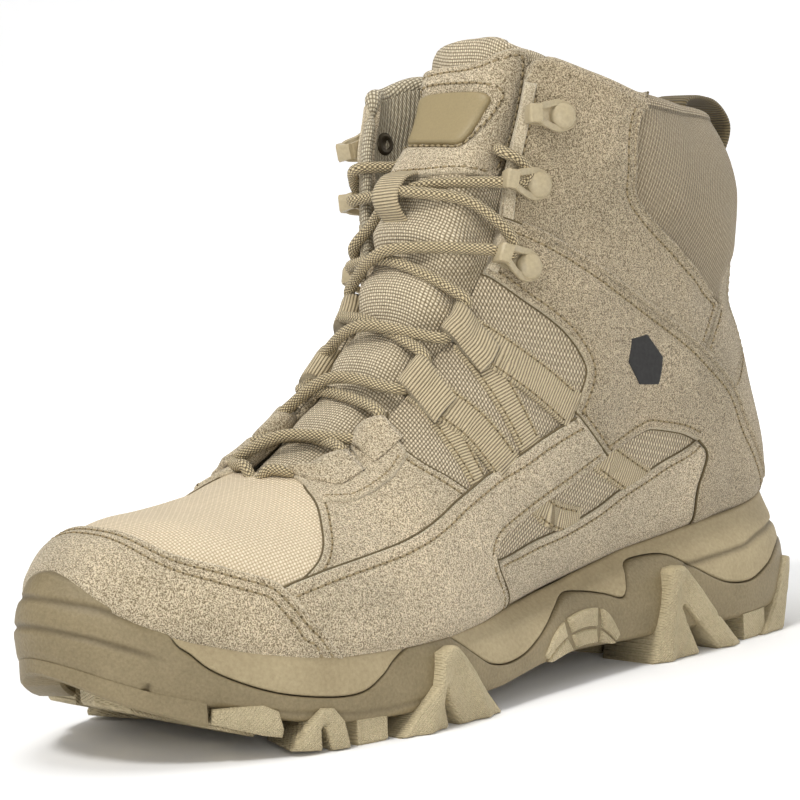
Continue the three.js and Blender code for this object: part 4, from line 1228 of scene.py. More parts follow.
def buildMidsole():
    place, _ = onOutline(fineLength)
    seam, rim = seamZ(place[:, 1]), soleHeight(place[:, 1], "rim")
    isOpen = (rim - seam) > 1.6
    toe = np.argmin(np.abs(fineLength - toeAt))
    first = toe - np.argmax(isOpen[toe::-1])
    last = toe + np.argmax(isOpen[toe:])
    start, end = fineLength[last] - soleRound, fineLength[first]
    s = np.arange(start, end, soleLook["alongStep"])
    place, _ = onOutline(s)
    fwd = place[:, 1]
    low, high = seamZ(fwd) + soleLook["seamGap"], soleHeight(fwd, "rim")
    rows = int(20 / soleLook["upStep"])
    wall, shade = wallGrid(s, low, high, rows, 0.0)
    lip = innerRing(s, 2.6 + rimLean(s), high - .8)
    deep = innerRing(s, 3.5 + rimLean(s), np.minimum(low, high - 2))
    rings = np.concatenate([wall, [lip], [deep]]).transpose(1, 0, 2)
    points, faces = skinOver(rings)
    values = np.zeros(len(points))
    ringValues = np.zeros(rings.shape[:2])
    ringValues[:, :len(wall)] = shade.T
    values[:ringValues.size] = ringValues.ravel()
    piece = addPiece("midsoleBody", points, faces, midsoleFoam, "midsole_foam", extra={"grooveShade": values})
    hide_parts("midsole")


# The sole's side as a surface of (fwd, z), for the claws and plates that stand on it.
toeIndex = toeRow * fineSteps
outerSide = fineOutline[:toeIndex + 1]
innerSide = fineOutline[toeIndex:][::-1]


def sideEdge(side, fwd):  # the outline's x at a distance forward
    line = outerSide if side > 0 else innerSide
    return np.interp(fwd, np.maximum.accumulate(line[:, 1]), line[:, 0])


def soleSide(side, lowest=3):
    def place(fwd, z):
        inset = wallInset(fwd, np.maximum(z, soleHeight(fwd, "slab") + lowest))
        return frameMm(sideEdge(side, fwd) - side * inset, fwd, z)
    return place


def soleBlock(name, side, outline, **more):  # a knurled block on the sole's side
    panel(sided(name, side), soleSide(side), outline, grippyRubberPaintedLight, "outsole_rubber", spacing=1.6,
          uv=lambda a, b, base: np.stack([a, b], 1), flip=side > 0, **more)


claws = [  # outline (fwd, z) of each claw, its ridges (line, height, half width), how far it stands out
    dict(name="heelClaw", out=2.6,
         line=[(79, 0), (71.5, 27), (70, 28.3), (66, 28.5), (64, 27), (50.5, 12), (38, 0), (49, 0), (57, 9),
               (65, 17), (66, 16), (61, 6), (58, 0)],
         ridges=[([(69, 29), (72, 12), (73, -2)], 2.0, 4), ([(66, 27), (50, 9), (42, -2)], 1.6, 3.5)]),
    dict(name="foreClaw", out=2.6,
         line=[(196, 0), (183, 13), (180.5, 21.5), (176, 22.8), (172.5, 20.5), (162, 8), (155, 0), (173.5, 0),
               (178, 7.5), (179.3, 12.5), (180.3, 11.5), (179.6, 5), (178.5, 0)],
         ridges=[([(178, 22), (184, 8), (188, -2)], 2.0, 4), ([(175, 21), (166, 8), (162, -2)], 1.6, 3.5)]),
    dict(name="tipPlate", out=1.3,
         line=[(248.5, 11.4), (248, 15.4), (241, 15.6), (235.5, 15.4), (231.5, 13), (230.6, 8), (231, 5.6),
               (236, 6.8), (242, 9.0)],
         ridges=[([(246, 14.6), (236, 10), (231, 9)], .5, 2.5)]),
    dict(name="heelWedge", out=1.6,
         line=[(25, 0), (17, 8), (11, 19), (7, 22.5), (3, 21.5), (3, 16), (7, 7), (12, 0)],
         ridges=[([(5, 22), (10, 9), (16, -2)], 1.2, 4)]),
    dict(name="tipClaw", out=1.6,
         line=[(229, 1.6), (224, 9), (220.5, 12.5), (216.5, 12), (213.5, 8), (212, 0.2), (217.8, .2),
               (218.8, 4.5), (219.8, 7.8), (220.6, 6.5), (220.4, .6)],
         ridges=[([(220, 12), (225, 2)], .6, 3)]),
]
clawDepth = -19  # how deep a claw reaches in under the sole


def buildClaws():
    for claw in claws:
        def ridged(a, b, gap):
            height = np.zeros(len(a))
            for ridge, size, width in claw["ridges"]:
                near, _ = distanceTo(np.stack([a, b], 1), np.asarray(ridge, float))
                height += size * np.clip(1 - near / width, 0, 1)
            return height

        for side in (1, -1):
            outline = polygon(soleSide(side), claw["line"], 1.2 * shoe["detail"])
            soleBlock(claw["name"], side, outline, top=claw["out"], bottom=clawDepth, bevel=.8, edge=.93,
                      shape=ridged)


arches = dict(  # (fwd, z) lines between the rows of small plates at the arch
    high=[(130.5, 11.5), (126, 16.8), (118, 20.6), (109, 22.0), (101, 21.0), (96, 16.5), (92.5, 11.0)],
    middle=[(129, 9.6), (124, 13), (117, 15.6), (109, 16.2), (102, 14.8), (97, 11.4), (94.6, 9.4)],
    low=[(127, 8.6), (121, 9.6), (114, 10.6), (108, 10.8), (102, 10.2), (98, 9.2), (96, 8.8)],
    spans=[(.02, .30), (.34, .62), (.66, .98)], gap=.35)


def partOf(line, start, end, count=14):  # a stretch of a line, by shares of its points
    return between(np.linspace(start, end, count), np.linspace(0, 1, len(line)), line)


def buildArchPlates():
    for side in (1, -1):
        for row, (top, low) in enumerate((("high", "middle"), ("middle", "low"))):
            top, low = sampled(arches[top], 10), sampled(arches[low], 10)
            for k, (start, end) in enumerate(arches["spans"]):
                high, base = partOf(top, start, end), partOf(low, end, start)
                high[:, 1] -= arches["gap"]
                base[:, 1] += arches["gap"]
                soleBlock(f"archPlate_{row}{k}", side, np.vstack([high, base]), top=1.3, bottom=-.5, bevel=.6,
                          edge=.5)


cleats = np.array([  # back fwd, front fwd, from x, to x, sweep; 60 means out to the sole's edge
    [2, 15, -22, 22, 0], [22, 34, 22, 60, 0], [22, 34, -60, -20, 0], [22, 34, -13, 15, 3],
    [42, 54, -14, 16, 3], [62, 74, -12, 16, 3], [154, 164, -16, 20, 4], [172, 182, -18, 22, 4],
    [190, 200, -18, 22, 4], [208, 218, -17, 21, 4], [226, 236, -15, 18, 4], [199, 209, 31, 60, 0],
    [232, 246, 22, 33, 0], [238, 250, -60, -22, 0], [242, 256, -12, 10, 4]])
toeLug = dict(outerFrom=249.5, innerFrom=256, deep=12, proud=-.5)


def buildToeLug():  # one long lug round the toe's edge
    start = np.interp(toeLug["outerFrom"], np.maximum.accumulate(outerSide[:, 1]), fineLength[:toeIndex + 1])
    end = np.interp(-toeLug["innerFrom"], -fineOutline[toeIndex:, 1], fineLength[toeIndex:])
    deep, proud = toeLug["deep"], toeLug["proud"]
    rings = []
    for s in np.arange(start, end, 1.5 * shoe["detail"]):
        place, out = onOutline(s)
        tread, slab = soleHeight(place[1], "tread"), soleHeight(place[1], "slab")
        ring = []
        for inward, z in ((-proud, slab + 1.5), (-proud, tread + .9), (.7 - proud, tread), (deep - .8, tread),
                          (deep, tread + .8), (deep, slab + 1.5)):
            x, fwd = place - out * inward
            ring.append(frameMm(x, fwd, z))
        rings.append(ring)
    addPiece("toeLug", *outward(*skinOver(rings)), outsoleRubber, "outsole_rubber", smooth=False)


heelLug = [(6, 6), (-3.6, 8.6), (-5.5, 10.5), (-9.2, 16), (-9.8, 18.5), (-9.9, 24.5), (-9, 26.6), (-7, 27),
           (2, 20)]  # its section as (fwd, z)


def buildTread():
    made = Gather()
    edge = lambda side, fwd: sideEdge(side, fwd) - side * 1.0
    for back, front, low, high, sweep in cleats:
        if abs(low) > 50 or abs(high) > 50:
            free = np.linspace(back, front, 30)
            free = [f for f in free if edge(1, f) > low + 5 and edge(-1, f) < high - 5]
            front = max(free)
        ahead = np.linspace(back, front, 6)
        left = [min(max(low, edge(-1, f)), high - 2) for f in ahead]
        right = [max(min(high, edge(1, f)), low + 2) for f in ahead]
        across = np.linspace(0, 1, 7)[1:-1]
        hump = lambda t: sweep * (1 - abs(2 * t - 1))
        line = [(left[0] + (right[0] - left[0]) * t, back + hump(t)) for t in across]
        line += list(zip(right, ahead))
        line += [(left[-1] + (right[-1] - left[-1]) * t, front + hump(t)) for t in across[::-1]]
        line += list(zip(left[::-1], ahead[::-1]))
        line = np.array(line)
        centre = line.mean(0)
        rings = []
        for share, level in ((.93, 0.0), (1.0, .7), (1.0, 3.0), (1.01, 99)):
            ring = centre + (line - centre) * share
            tread, slab = soleHeight(ring[:, 1], "tread"), soleHeight(ring[:, 1], "slab")
            rings.append(frameMm(*ring.T, np.minimum(tread + level, slab + 1.2)))
        made.add(*skinOver(rings))
    side = np.array(heelLug, float)
    rings = []
    for x, share in ((-18, .8), (-17.2, .96), (-15, 1), (0, 1.02), (15, 1), (17.2, .96), (18, .8)):
        line = side.mean(0) + (side - side.mean(0)) * share
        rings.append(frameMm(np.full(len(line), float(x)), line[:, 0], line[:, 1]))
    points, faces = skinOver(rings)
    made.add(points, flipped(faces))
    made.make("treadBlocks", grippyRubberPaintedLight, "outsole_rubber", smooth=False)


buildOutsole()
buildMidsole()
buildClaws()
buildArchPlates()
buildToeLug()
buildTread()
print("the sole is moulded")


def paddingAt(section, around):  # how thick the upper is
    turn = np.abs(np.mod(around + 1, 2) - 1)
    wall, pad = smoothRows(sections[:, 12:14], section).T
    return wall + pad * (1 - ramp(turn, .6, .74))


shell = dict(outside=-.55, toeGap=1.3, rows=70, columns=150)


def buildShaftShell():
    p = np.linspace(0, 1, shell["rows"])
    q = np.linspace(0, 1, shell["columns"])
    ends = throatTurn(19.0, -1) - 2 + q * (throatTurn(19.0, 1) - throatTurn(19.0, -1) + 2)
    tops = np.array([collarSection(u) for u in ends]) - .06
    t = throatStart + p[:, None] * (tops[None] - throatStart)
    low, high = throatTurn(t, -1) - 2, throatTurn(t, 1)
    u = low + q[None] * (high - low)
    base = lookUp(tablePoints, t.ravel(), u.ravel())
    normal = normalsOf(upper, t.ravel(), u.ravel())
    outside = (base + normal * shell["outside"]).reshape(*t.shape, 3)
    inside = (base - normal * paddingAt(t.ravel(), u.ravel())[:, None]).reshape(*t.shape, 3)
    inside[0] = outside[0] * .2 + inside[0] * .8
    points = np.vstack([outside.reshape(-1, 3), inside.reshape(-1, 3)])
    rows, columns = t.shape
    number = lambda layer, r, c: layer * rows * columns + r * columns + c
    faces, kinds = [], []
    for r in range(rows - 1):
        for c in range(columns - 1):
            faces.append((number(0, r, c), number(0, r + 1, c), number(0, r + 1, c + 1), number(0, r, c + 1)))
            faces.append((number(1, r, c), number(1, r, c + 1), number(1, r + 1, c + 1), number(1, r + 1, c)))
            kinds += [0, 1]
    for r in range(rows - 1):
        for c, turned in ((0, False), (columns - 1, True)):
            face = (number(0, r, c), number(1, r, c), number(1, r + 1, c), number(0, r + 1, c))
            faces.append(tuple(reversed(face)) if turned else face)
            kinds.append(2)
    for c in range(columns - 1):
        for r, turned in ((0, True), (rows - 1, False)):
            face = (number(0, r, c), number(1, r, c), number(1, r, c + 1), number(0, r, c + 1))
            faces.append(tuple(reversed(face)) if turned else face)
            kinds.append(2)
    uv = lookUp(weaveTable, t.ravel(), u.ravel())
    piece = addPiece("shaftLining", points, faces, [nylon, lining, suede], "lining", np.vstack([uv, uv]),
                     faceMaterial=kinds)
    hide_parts("upper")


def buildVampShell():
    t, u = np.meshgrid(np.linspace(0, throatStart, 40), np.linspace(0, 2, 97)[:-1], indexing="ij")
    inner = shell["toeGap"] + t * (throatStart - shell["toeGap"]) / throatStart
    rings = []
    for section, isOuter in ((t, True), (inner[::-1], False)):
        a, b = section.ravel(), u.ravel()
        height = np.full(t.size, shell["outside"]) if isOuter else -paddingAt(a, b)
        base = lookUp(tablePoints, a, b) + normalsOf(upper, a, b) * height[:, None]
        rings.append(base.reshape(*t.shape, 3))
    points, faces = skinOver(np.concatenate(rings), closedAlong=True)
    addPiece("vampLining", points, flipped(faces), lining, "lining",
             np.vstack([lookUp(weaveTable, t.ravel(), u.ravel())] * 2))


tongueLean = 7.5  # how far the tongue's top falls back between the flaps


def tongueHeight(section, around):
    around = np.mod(around, 2)
    fromEdge = np.minimum(around - throatTurn(section, 1), throatTurn(section, -1) - around)
    crown = 2.2 * ramp(section, 8, 12)
    under = 3.4 * (1 - ramp(section, 6.7, 7.5))  # where it passes under the vamp
    return (crown + 4.1) * ramp(fromEdge, .01, .1) - 4.1 - under - tongueLean * ramp(section, 14, 17.8)


def tonguePlace(section, around):
    height = tongueHeight(section, around)
    return closedUpper(section, around) + normalsOf(closedUpper, section, around) * height[:, None]


tongueLook = dict(top=.6, thickness=6.0, start=6.4, puffWidth=.42, puffs=[
    (7.7, -.9), (8.25, .9), (8.85, -1.3), (9.5, 1.2), (10.1, -1.7), (11.15, 1.6), (12.05, -1.7), (13.1, 1.9),
    (15.4, .9), (17.6, .8)])


def buildTongue():
    start = tongueLook["start"]
    t = np.linspace(start, 18.6, 62)
    outer = throatTurn(t, 1) - (.05 + .035 * ramp(t, 8, 12))
    inner = throatTurn(t, -1) + .05 * (1 - ramp(t, 10.5, 13.5))
    top = [(18.6, outer[-1]), (18.95, outer[-1] + .02), (19.1, .88), (19.17, .95), (19.15, 1.01),
           (19.04, 1.06), (18.82, 1.105), (18.55, 1.138), (18.25, inner[-1])]
    outline = loop(tonguePlace, np.stack([t, outer], 1), sampled(top),
                   np.stack([t, inner], 1)[t < 18.25][::-1],
                   [(start, inner[0]), (start, 1.0), (start, outer[0])], step=1.8)

    def puffed(a, b, gap):
        height = np.zeros(len(a))
        side = np.clip(gap / 14, 0, 1)
        for middle, size in tongueLook["puffs"]:
            height += size * np.exp(-((a - middle) / tongueLook["puffWidth"]) ** 2) * side
        return height

    piece = panel("paddedTongue", tonguePlace, outline, tongueCloth, "nylon_fabric", top=tongueLook["top"],
                  bottom=-tongueLook["thickness"], bevel=2.6, edge=.55, spacing=2.6, shape=puffed)
    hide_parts("tongue")
    return piece


patchLook = dict(top=2.8, bottom=.2, seamIn=2.2, ring=1.22, hollow=1.3, stitches=2.55)
patchEdges = [  # the suede patch at the tongue's top, as four edges of (section, turn)
    [(15.75, .86), (15.45, .93), (15.2, 1.0), (15.15, 1.08), (15.3, 1.135)],
    [(15.3, 1.135), (15.6, 1.148), (16.8, 1.15), (18.1, 1.148), (18.45, 1.132)],
    [(18.45, 1.132), (18.62, 1.08), (18.72, 1.01), (18.82, .95), (19.0, .90)],
    [(19.0, .90), (19.02, .865), (18.8, .838), (18.2, .828), (17.2, .826), (16.1, .835), (15.75, .86)]]
plateShape = [(16.72, 1.083), (16.63, 1.03), (16.6, .965), (16.85, .945), (17.3, .93), (17.8, .918),
              (18.06, .912), (18.18, .93), (18.2, 1.0), (18.13, 1.055), (18.0, 1.08), (17.4, 1.085),
              (16.9, 1.088), (16.72, 1.083)]
plateMiddle = np.array([17.4, 1.0])


def plateLine(size):
    line = sampled(plateShape, 6)
    return spaced(tonguePlace, plateMiddle + (line - plateMiddle) * size, 1.3 * shoe["detail"])[:-1]


def plateSink(a, b):  # a soft step round the plate
    near, _ = distanceTo(tonguePlace(a, b), tonguePlace(*plateLine(1.05).T), closed=True)
    return np.exp(-(near / 1.2) ** 2)


def buildTonguePatch():
    border = loop(tonguePlace, *map(sampled, patchEdges))
    seam = offsetLine(tonguePlace, border, patchLook["seamIn"], closed=True)
    if insideOf(seam, border).mean() <= .5:
        seam = offsetLine(tonguePlace, border, -patchLook["seamIn"], closed=True)
    plate, ring = plateLine(1.0), plateLine(patchLook["ring"])
    deep = patchLook["hollow"]
    hollow = lambda a, b, gap: -deep * plateSink(a, b) - deep * insideOf(np.stack([a, b], 1), plate)
    panel("tonguePatch", tonguePlace, border, suede, "suede", top=patchLook["top"],
          bottom=patchLook["bottom"], bevel=.7, spacing=1.6, seams=[seam, ring], shape=hollow)
    stitchRow(tonguePlace, seam, patchLook["stitches"])
    stitchRow(tonguePlace, ring, patchLook["stitches"])
    badge = panel("tonguePlate", tonguePlace, plate, badgeRubber, "badge_rubber", top=2.75, bottom=.9,
                  bevel=1.1, edge=.3, spacing=1.8)
    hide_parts("tongue_badge")


def raisedAt(place, section, around, height):  # points at a height over a surface
    values = np.broadcast_arrays(section, around, height)
    section, around, height = (np.atleast_1d(np.asarray(v, float)) for v in values)
    return place(section, around) + normalsOf(place, section, around) * height[:, None]


def smoothPath(points, step):  # an even, smooth path through points, and the distance along it
    points = np.asarray(points, float)
    fine = smoothRows(points, np.linspace(0, len(points) - 1, (len(points) - 1) * 24 + 1))
    along = runOf(fine)
    at = np.linspace(0, along[-1], max(3, int(along[-1] / step)))
    return between(at, along, fine), at


def tubeOver(path, along, radius, sides=12, flat=1.0, up=None):
    tangent = unit(np.gradient(path, axis=0))
    side = np.cross(tangent[0], [0.3, .2, 1.0] if up is None else up[0])
    rings, uv = [], []
    radius = np.broadcast_to(radius, len(path))
    angle = anglesRound(sides)
    for i, (p, t) in enumerate(zip(path, tangent)):
        if up is not None:
            side = np.cross(t, up[i])
        side = side - t * side.dot(t)
        side /= norm(side)
        other = np.cross(side, t)
        rings.append(p + radius[i] * (np.cos(angle)[:, None] * side + flat * np.sin(angle)[:, None] * other))
        uv.append(np.stack([np.full(sides, along[i]), np.abs(angle - math.pi) * radius[i]], 1))
    uv = np.vstack(uv)
    return *skinOver(rings), np.vstack([uv, uv[:1], uv[-1:]])


def capped(uv):  # the coordinates of rings, with those of the two end caps' middles
    return np.vstack(uv + [uv[0][:1], uv[-1][:1]])


rollLook = dict(sides=20, wide=1.15, tall=2.1, spread=.22, collarFrom=.562)


def buildCollarRoll():  # the collar's top edge, rolled over and padded
    turns = np.linspace(throatTurn(19.0, -1) - 2, throatTurn(19.0, 1), 150)
    tops = np.array([collarSection(u) for u in turns])
    base = upper(tops - .12, turns)
    normal = normalsOf(upper, tops - .12, turns)
    depth = paddingAt(tops, turns)
    path = base - normal * (depth / 2 - .9)[:, None]
    along, tangent = runOf(path), unit(np.gradient(path, axis=0))
    wide, tall = depth / 2 + rollLook["wide"], rollLook["tall"] + rollLook["spread"] * depth
    sides, last = rollLook["sides"], len(path) - 1
    angle = anglesRound(sides)
    rings, uv = [], []
    for i in range(len(path)):
        up = np.cross(tangent[i], normal[i])
        up *= np.sign(up[2])
        ease = math.sqrt(max(1 - max(0, 1 - min(i, last - i) / 3) ** 2, .08))
        out, high = wide[i] * np.cos(angle)[:, None] * normal[i], tall[i] * np.sin(angle)[:, None] * up
        rings.append(path[i] + ease * (out + high))
        uv.append(np.stack([np.full(sides, along[i]), angle * wide[i]], 1))
    points, faces = skinOver(rings)
    ringOf = [min(f[0] // sides, last) for f in faces]
    kinds = [1 if abs(turns[i]) <= rollLook["collarFrom"] else 0 if turns[i] > 0 else 2 for i in ringOf]
    addPiece("collarRoll", points, faces, [shaftSuedePaintedShade, collarCloth, lining], "suede", capped(uv),
             faceMaterial=kinds)


def buildFlapEdge():  # the inner flap's lining, turned over its front edge
    chart = spaced(upper, edgeLine(13.0, 18.2, -1), 1.6)
    normal = normalsOf(upper, *chart.T)
    depth = paddingAt(*chart.T)
    path = upper(*chart.T) - normal * (depth / 2 - 1.2)[:, None]
    fromStart = np.arange(len(path))
    rise = np.minimum(1, np.minimum(fromStart, fromStart[::-1]) / 3 + .3)
    points, faces, uv = tubeOver(path, runOf(path), (depth / 2 + 1.5) * rise, 16, flat=.55, up=normal)
    addPiece("flapEdge", *outward(points, faces), lining, "lining", uv)


collarLook = dict(pillow=3.6, pillowFrom=9, pressure=4.0, cap=2.5, steps=20)


def inflate(piece, pinned):  # a short cloth simulation under pressure, then applied to the mesh
    rest = np.array([v.co for v in piece.data.vertices])
    group = piece.vertex_groups.new(name="held")
    for index in np.nonzero(pinned > 0)[0]:
        group.add([int(index)], float(pinned[index]), "REPLACE")
    cloth = piece.modifiers.new("cloth", "CLOTH")
    settings = cloth.settings
    settings.use_pressure = True
    settings.uniform_pressure_force = collarLook["pressure"]
    settings.effector_weights.gravity = 0
    settings.vertex_group_mass = "held"
    settings.quality = 4
    settings.tension_stiffness = settings.compression_stiffness = 25
    settings.bending_stiffness = 2
    scene = bpy.context.scene
    scene.frame_start, scene.frame_end = 1, collarLook["steps"]
    for number in range(1, collarLook["steps"] + 1):
        scene.frame_set(number)
    moved = piece.evaluated_get(bpy.context.evaluated_depsgraph_get())
    shift = np.array([v.co for v in moved.data.vertices]) - rest
    piece.modifiers.remove(cloth)
    scene.frame_set(1)
    size = norm(shift, axis=1, keepdims=True)
    shift *= np.minimum(1, collarLook["cap"] * .001 / np.maximum(size, 1e-9))
    piece.data.vertices.foreach_set("co", (rest + shift).astype(np.float32).ravel())
    piece.data.update()
    piece.vertex_groups.clear()


def buildCollarPad():
    front = cut("collarFront", 1)
    top = np.array([(collarSection(u) - .05, u) for u in np.linspace(-.565, .565, 60)])
    low = sampled([(16.55, .357), (16.9, .31), (17.25, .27), (17.5, .2), (17.7, .1), (17.75, 0), (17.7, -.1),
                   (17.5, -.2), (17.25, -.27), (16.9, -.31), (16.55, -.357)])
    outline = loop(upper, top, front, low, (front * (1, -1))[::-1])
    pillow = lambda a, b, gap: collarLook["pillow"] * (1 - np.exp(-(gap / collarLook["pillowFrom"]) ** 1.4))
    piece = panel("collarPad", upper, outline, collarCloth, "nylon_fabric", top=1.0, bottom=-.5, bevel=1.0,
                  edge=.3, spacing=2.4, shape=pillow)
    gap = np.zeros(len(piece.data.vertices), np.float32)
    piece.data.attributes["rimDistance"].data.foreach_get("value", gap)
    inflate(piece, 1 - ramp(gap, 1.0, 6.0))


buildShaftShell()
buildVampShell()
tongue = buildTongue()
buildTonguePatch()
buildCollarRoll()
buildFlapEdge()
buildCollarPad()
print("lining, collar and tongue are in")


def ribbonUv(centre):  # cloth coordinates along a strap and across it
    def uv(a, b, base):
        gap, along = distanceTo(base, centre)
        return np.stack([along, gap], 1)
    return uv


def strap(name, control, width, side, material=webbing, top=1.7, bottom=.3, sewn=True, slot="webbing"):
    line = spaced(upper, sideLine(sampled(control), side), 1.3)
    left, right = offsetLine(upper, line, width / 2), offsetLine(upper, line, -width / 2)
    outline = np.vstack([left, right[::-1]])
    centre = upper(*left.T)
    inset = width / 2 - 1.3
    seams = [offsetLine(upper, line, inset), offsetLine(upper, line, -inset)] if sewn else []
    panel(sided(name, side), upper, outline, material, slot, top=top, bottom=bottom, bevel=.5, edge=.6,
          spacing=2.0, uv=ribbonUv(centre), seams=seams, sink=.2, seamWidth=.6)
    for seam in seams:
        stitchRow(upper, seam[2:-2], top - .12)


straps = [  # name, line of (section, turn), width, height of its top over the surface
    ("strapD", [(9.40, .815), (9.45, .740), (9.52, .673), (9.60, .610)], 7.5, 1.5),
    ("strapB", [(10.95, .785), (10.92, .710), (10.92, .648), (10.95, .575)], 10, 1.5),
    ("strapC", [(9.45, .838), (9.65, .762), (9.98, .683), (10.32, .590)], 11.5, 2.0),
    ("strapA", [(11.05, .802), (11.45, .713), (11.92, .630), (12.22, .568)], 12.5, 2.0),
]


def strapSide(side):
    for name, line, width, top in straps:
        strap(name, line, width, side, top=top)
    bound = dict(material=palerSuede, sewn=False, slot="suede")
    strap("flapBinding", edgeLine(14.75, 18.45, 1, .0125), 3.4, side, top=2.05, bottom=.6, **bound)
    strap("ankleBinding", edgeLine(12.95, 14.5, 1, .0125), 3.4, side, top=2.6, bottom=.8, **bound)
    strap("windowBarFront", [(10.70, .522), (11.0, .48), (11.45, .425)], 8.5, side, top=1.0, bottom=-.2)
    strap("windowBarRear", [(12.25, .515), (12.5, .475), (12.75, .42)], 11, side, top=1.0, bottom=-.2)


# A strip folded back round the lace at the throat's edge. "fold" is its run away from the edge and height.
def foldedStrip(name, side, middle, half, reach, thickness, kind):
    rest, high = (2.5, 4.4) if kind == "suede" else (2.6, 5.0)
    fold = [(-reach, rest - .4), (-8, rest), (-5.2, rest + .3), (-2.6, high - .8), (.2, high),
            (2.7, high - .9), (3.8, 1.7), (3.1, -.3), (1.0, -1.5), (-1.6, -1.3), (-4, -.9)]
    fine = smoothRows(np.array(fold), np.linspace(0, len(fold) - 1, 46))
    tangent = unit(np.gradient(fine, axis=0))
    out = np.stack([-tangent[:, 1], tangent[:, 0]], 1)
    along = runOf(fine)
    rings, uv = [], []
    for spread in np.linspace(-1, 1, 9):
        section = middle + half * spread
        thin = thickness / 2 * (1 - .35 * abs(spread) ** 6)
        edge = throatTurn(section, side)
        pull = .35 * spread ** 2 if kind == "suede" else 0
        _, scale = localScale(upper, np.array([[section, edge]]))
        foot, normal = pointAt(upper, section, edge), normalAt(upper, section, edge)
        ahead = pointAt(upper, section, edge + side * .02) - foot
        ahead = unit(ahead - normal * ahead.dot(normal))
        place = []
        for a, n in np.vstack([fine + out * thin, (fine - out * thin)[::-1]]):
            a -= pull * max(a + 6, 0)
            if a < 0:
                turn = edge + side * a / scale[0]
                place.append(pointAt(upper, section, turn) + normalAt(upper, section, turn) * n)
            else:
                place.append(foot + ahead * a + normal * n)
        rings.append(place)
        across = spread * half * stripTurn
        uv.append(np.stack([np.concatenate([along, along[::-1]]), np.full(len(place), across)], 1))
    points, faces = skinOver(rings)
    faces = flipped(faces) if side > 0 else faces
    return addPiece(name, points, faces, suede if kind == "suede" else webbing, kind, capped(uv))


stripTurn = 17  # millimetres of cloth across a strip for each section

tabPatches = [  # outline of the suede under each tab, as (section, turn)
    ("tabPatchLow", [(6.95, .92), (7.75, .885), (7.7, .765), (7.2, .775), (6.75, .815)]),
    ("tabPatchHigh", [(7.95, .885), (8.6, .868), (8.5, .768), (8.05, .762), (7.55, .768)]),
]


def buildTabPatches(side):
    for name, corners in tabPatches:
        outline = sideLine(polygon(upper, corners), side)
        panel(sided(name, side), upper, outline, suede, "suede", top=2.3, bottom=.2, bevel=.6, spacing=1.9)
        row = sideLine(spaced(upper, np.array(corners[2:5]), 1.2), side)
        stitchRow(upper, seamInside(row, outline, 2.0), 2.15)


holders = [  # name, section on the outer and the inner side, half length, run, thickness, finish
    ("lace_tab_low", 7.35, 7.5, .40, 9, 1.5, "suede"),
    ("lace_tab_high", 8.28, 8.35, .33, 9, 1.5, "suede"),
    ("webbing_loop_low", 9.55, 9.6, .33, 13, 1.3, "webbing"),
    ("webbing_loop_high", 11.05, 11.1, .42, 13, 1.3, "webbing"),
]
hooks = [(13.8, 13.3), (16.15, 15.9), (18.0, 17.6)]  # their sections on the outer and the inner side


def buildHolders():
    for name, outerAt, innerAt, half, reach, thickness, kind in holders:
        for side, at in ((1, outerAt), (-1, innerAt)):
            piece = foldedStrip(sided(name.replace("_", ""), side), side, at, half, reach, thickness, kind)
            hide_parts(sided(name, side))


hookLook = dict(rivet=3.9, arm=1.0, lipHeight=6.4, lipAt=9.4, lipHalf=2.5, innerLip=.8,
                inset=(.062, .118), topInset=.085, topFrom=17.8, tilt=.3)


def hookFrame(section, side):  # where a hook stands, and its own directions
    inset = hookLook["topInset"] if section > hookLook["topFrom"] else hookLook["inset"][0 if side > 0 else 1]
    turn = throatTurn(section, side) - side * inset
    base, normal = pointAt(upper, section, turn), normalAt(upper, section, turn, .02, .12)
    ahead = pointAt(upper, section, turn + side * .02) - base
    ahead = unit(ahead - normal * ahead.dot(normal))
    return base, ahead, normal, np.cross(ahead, normal)


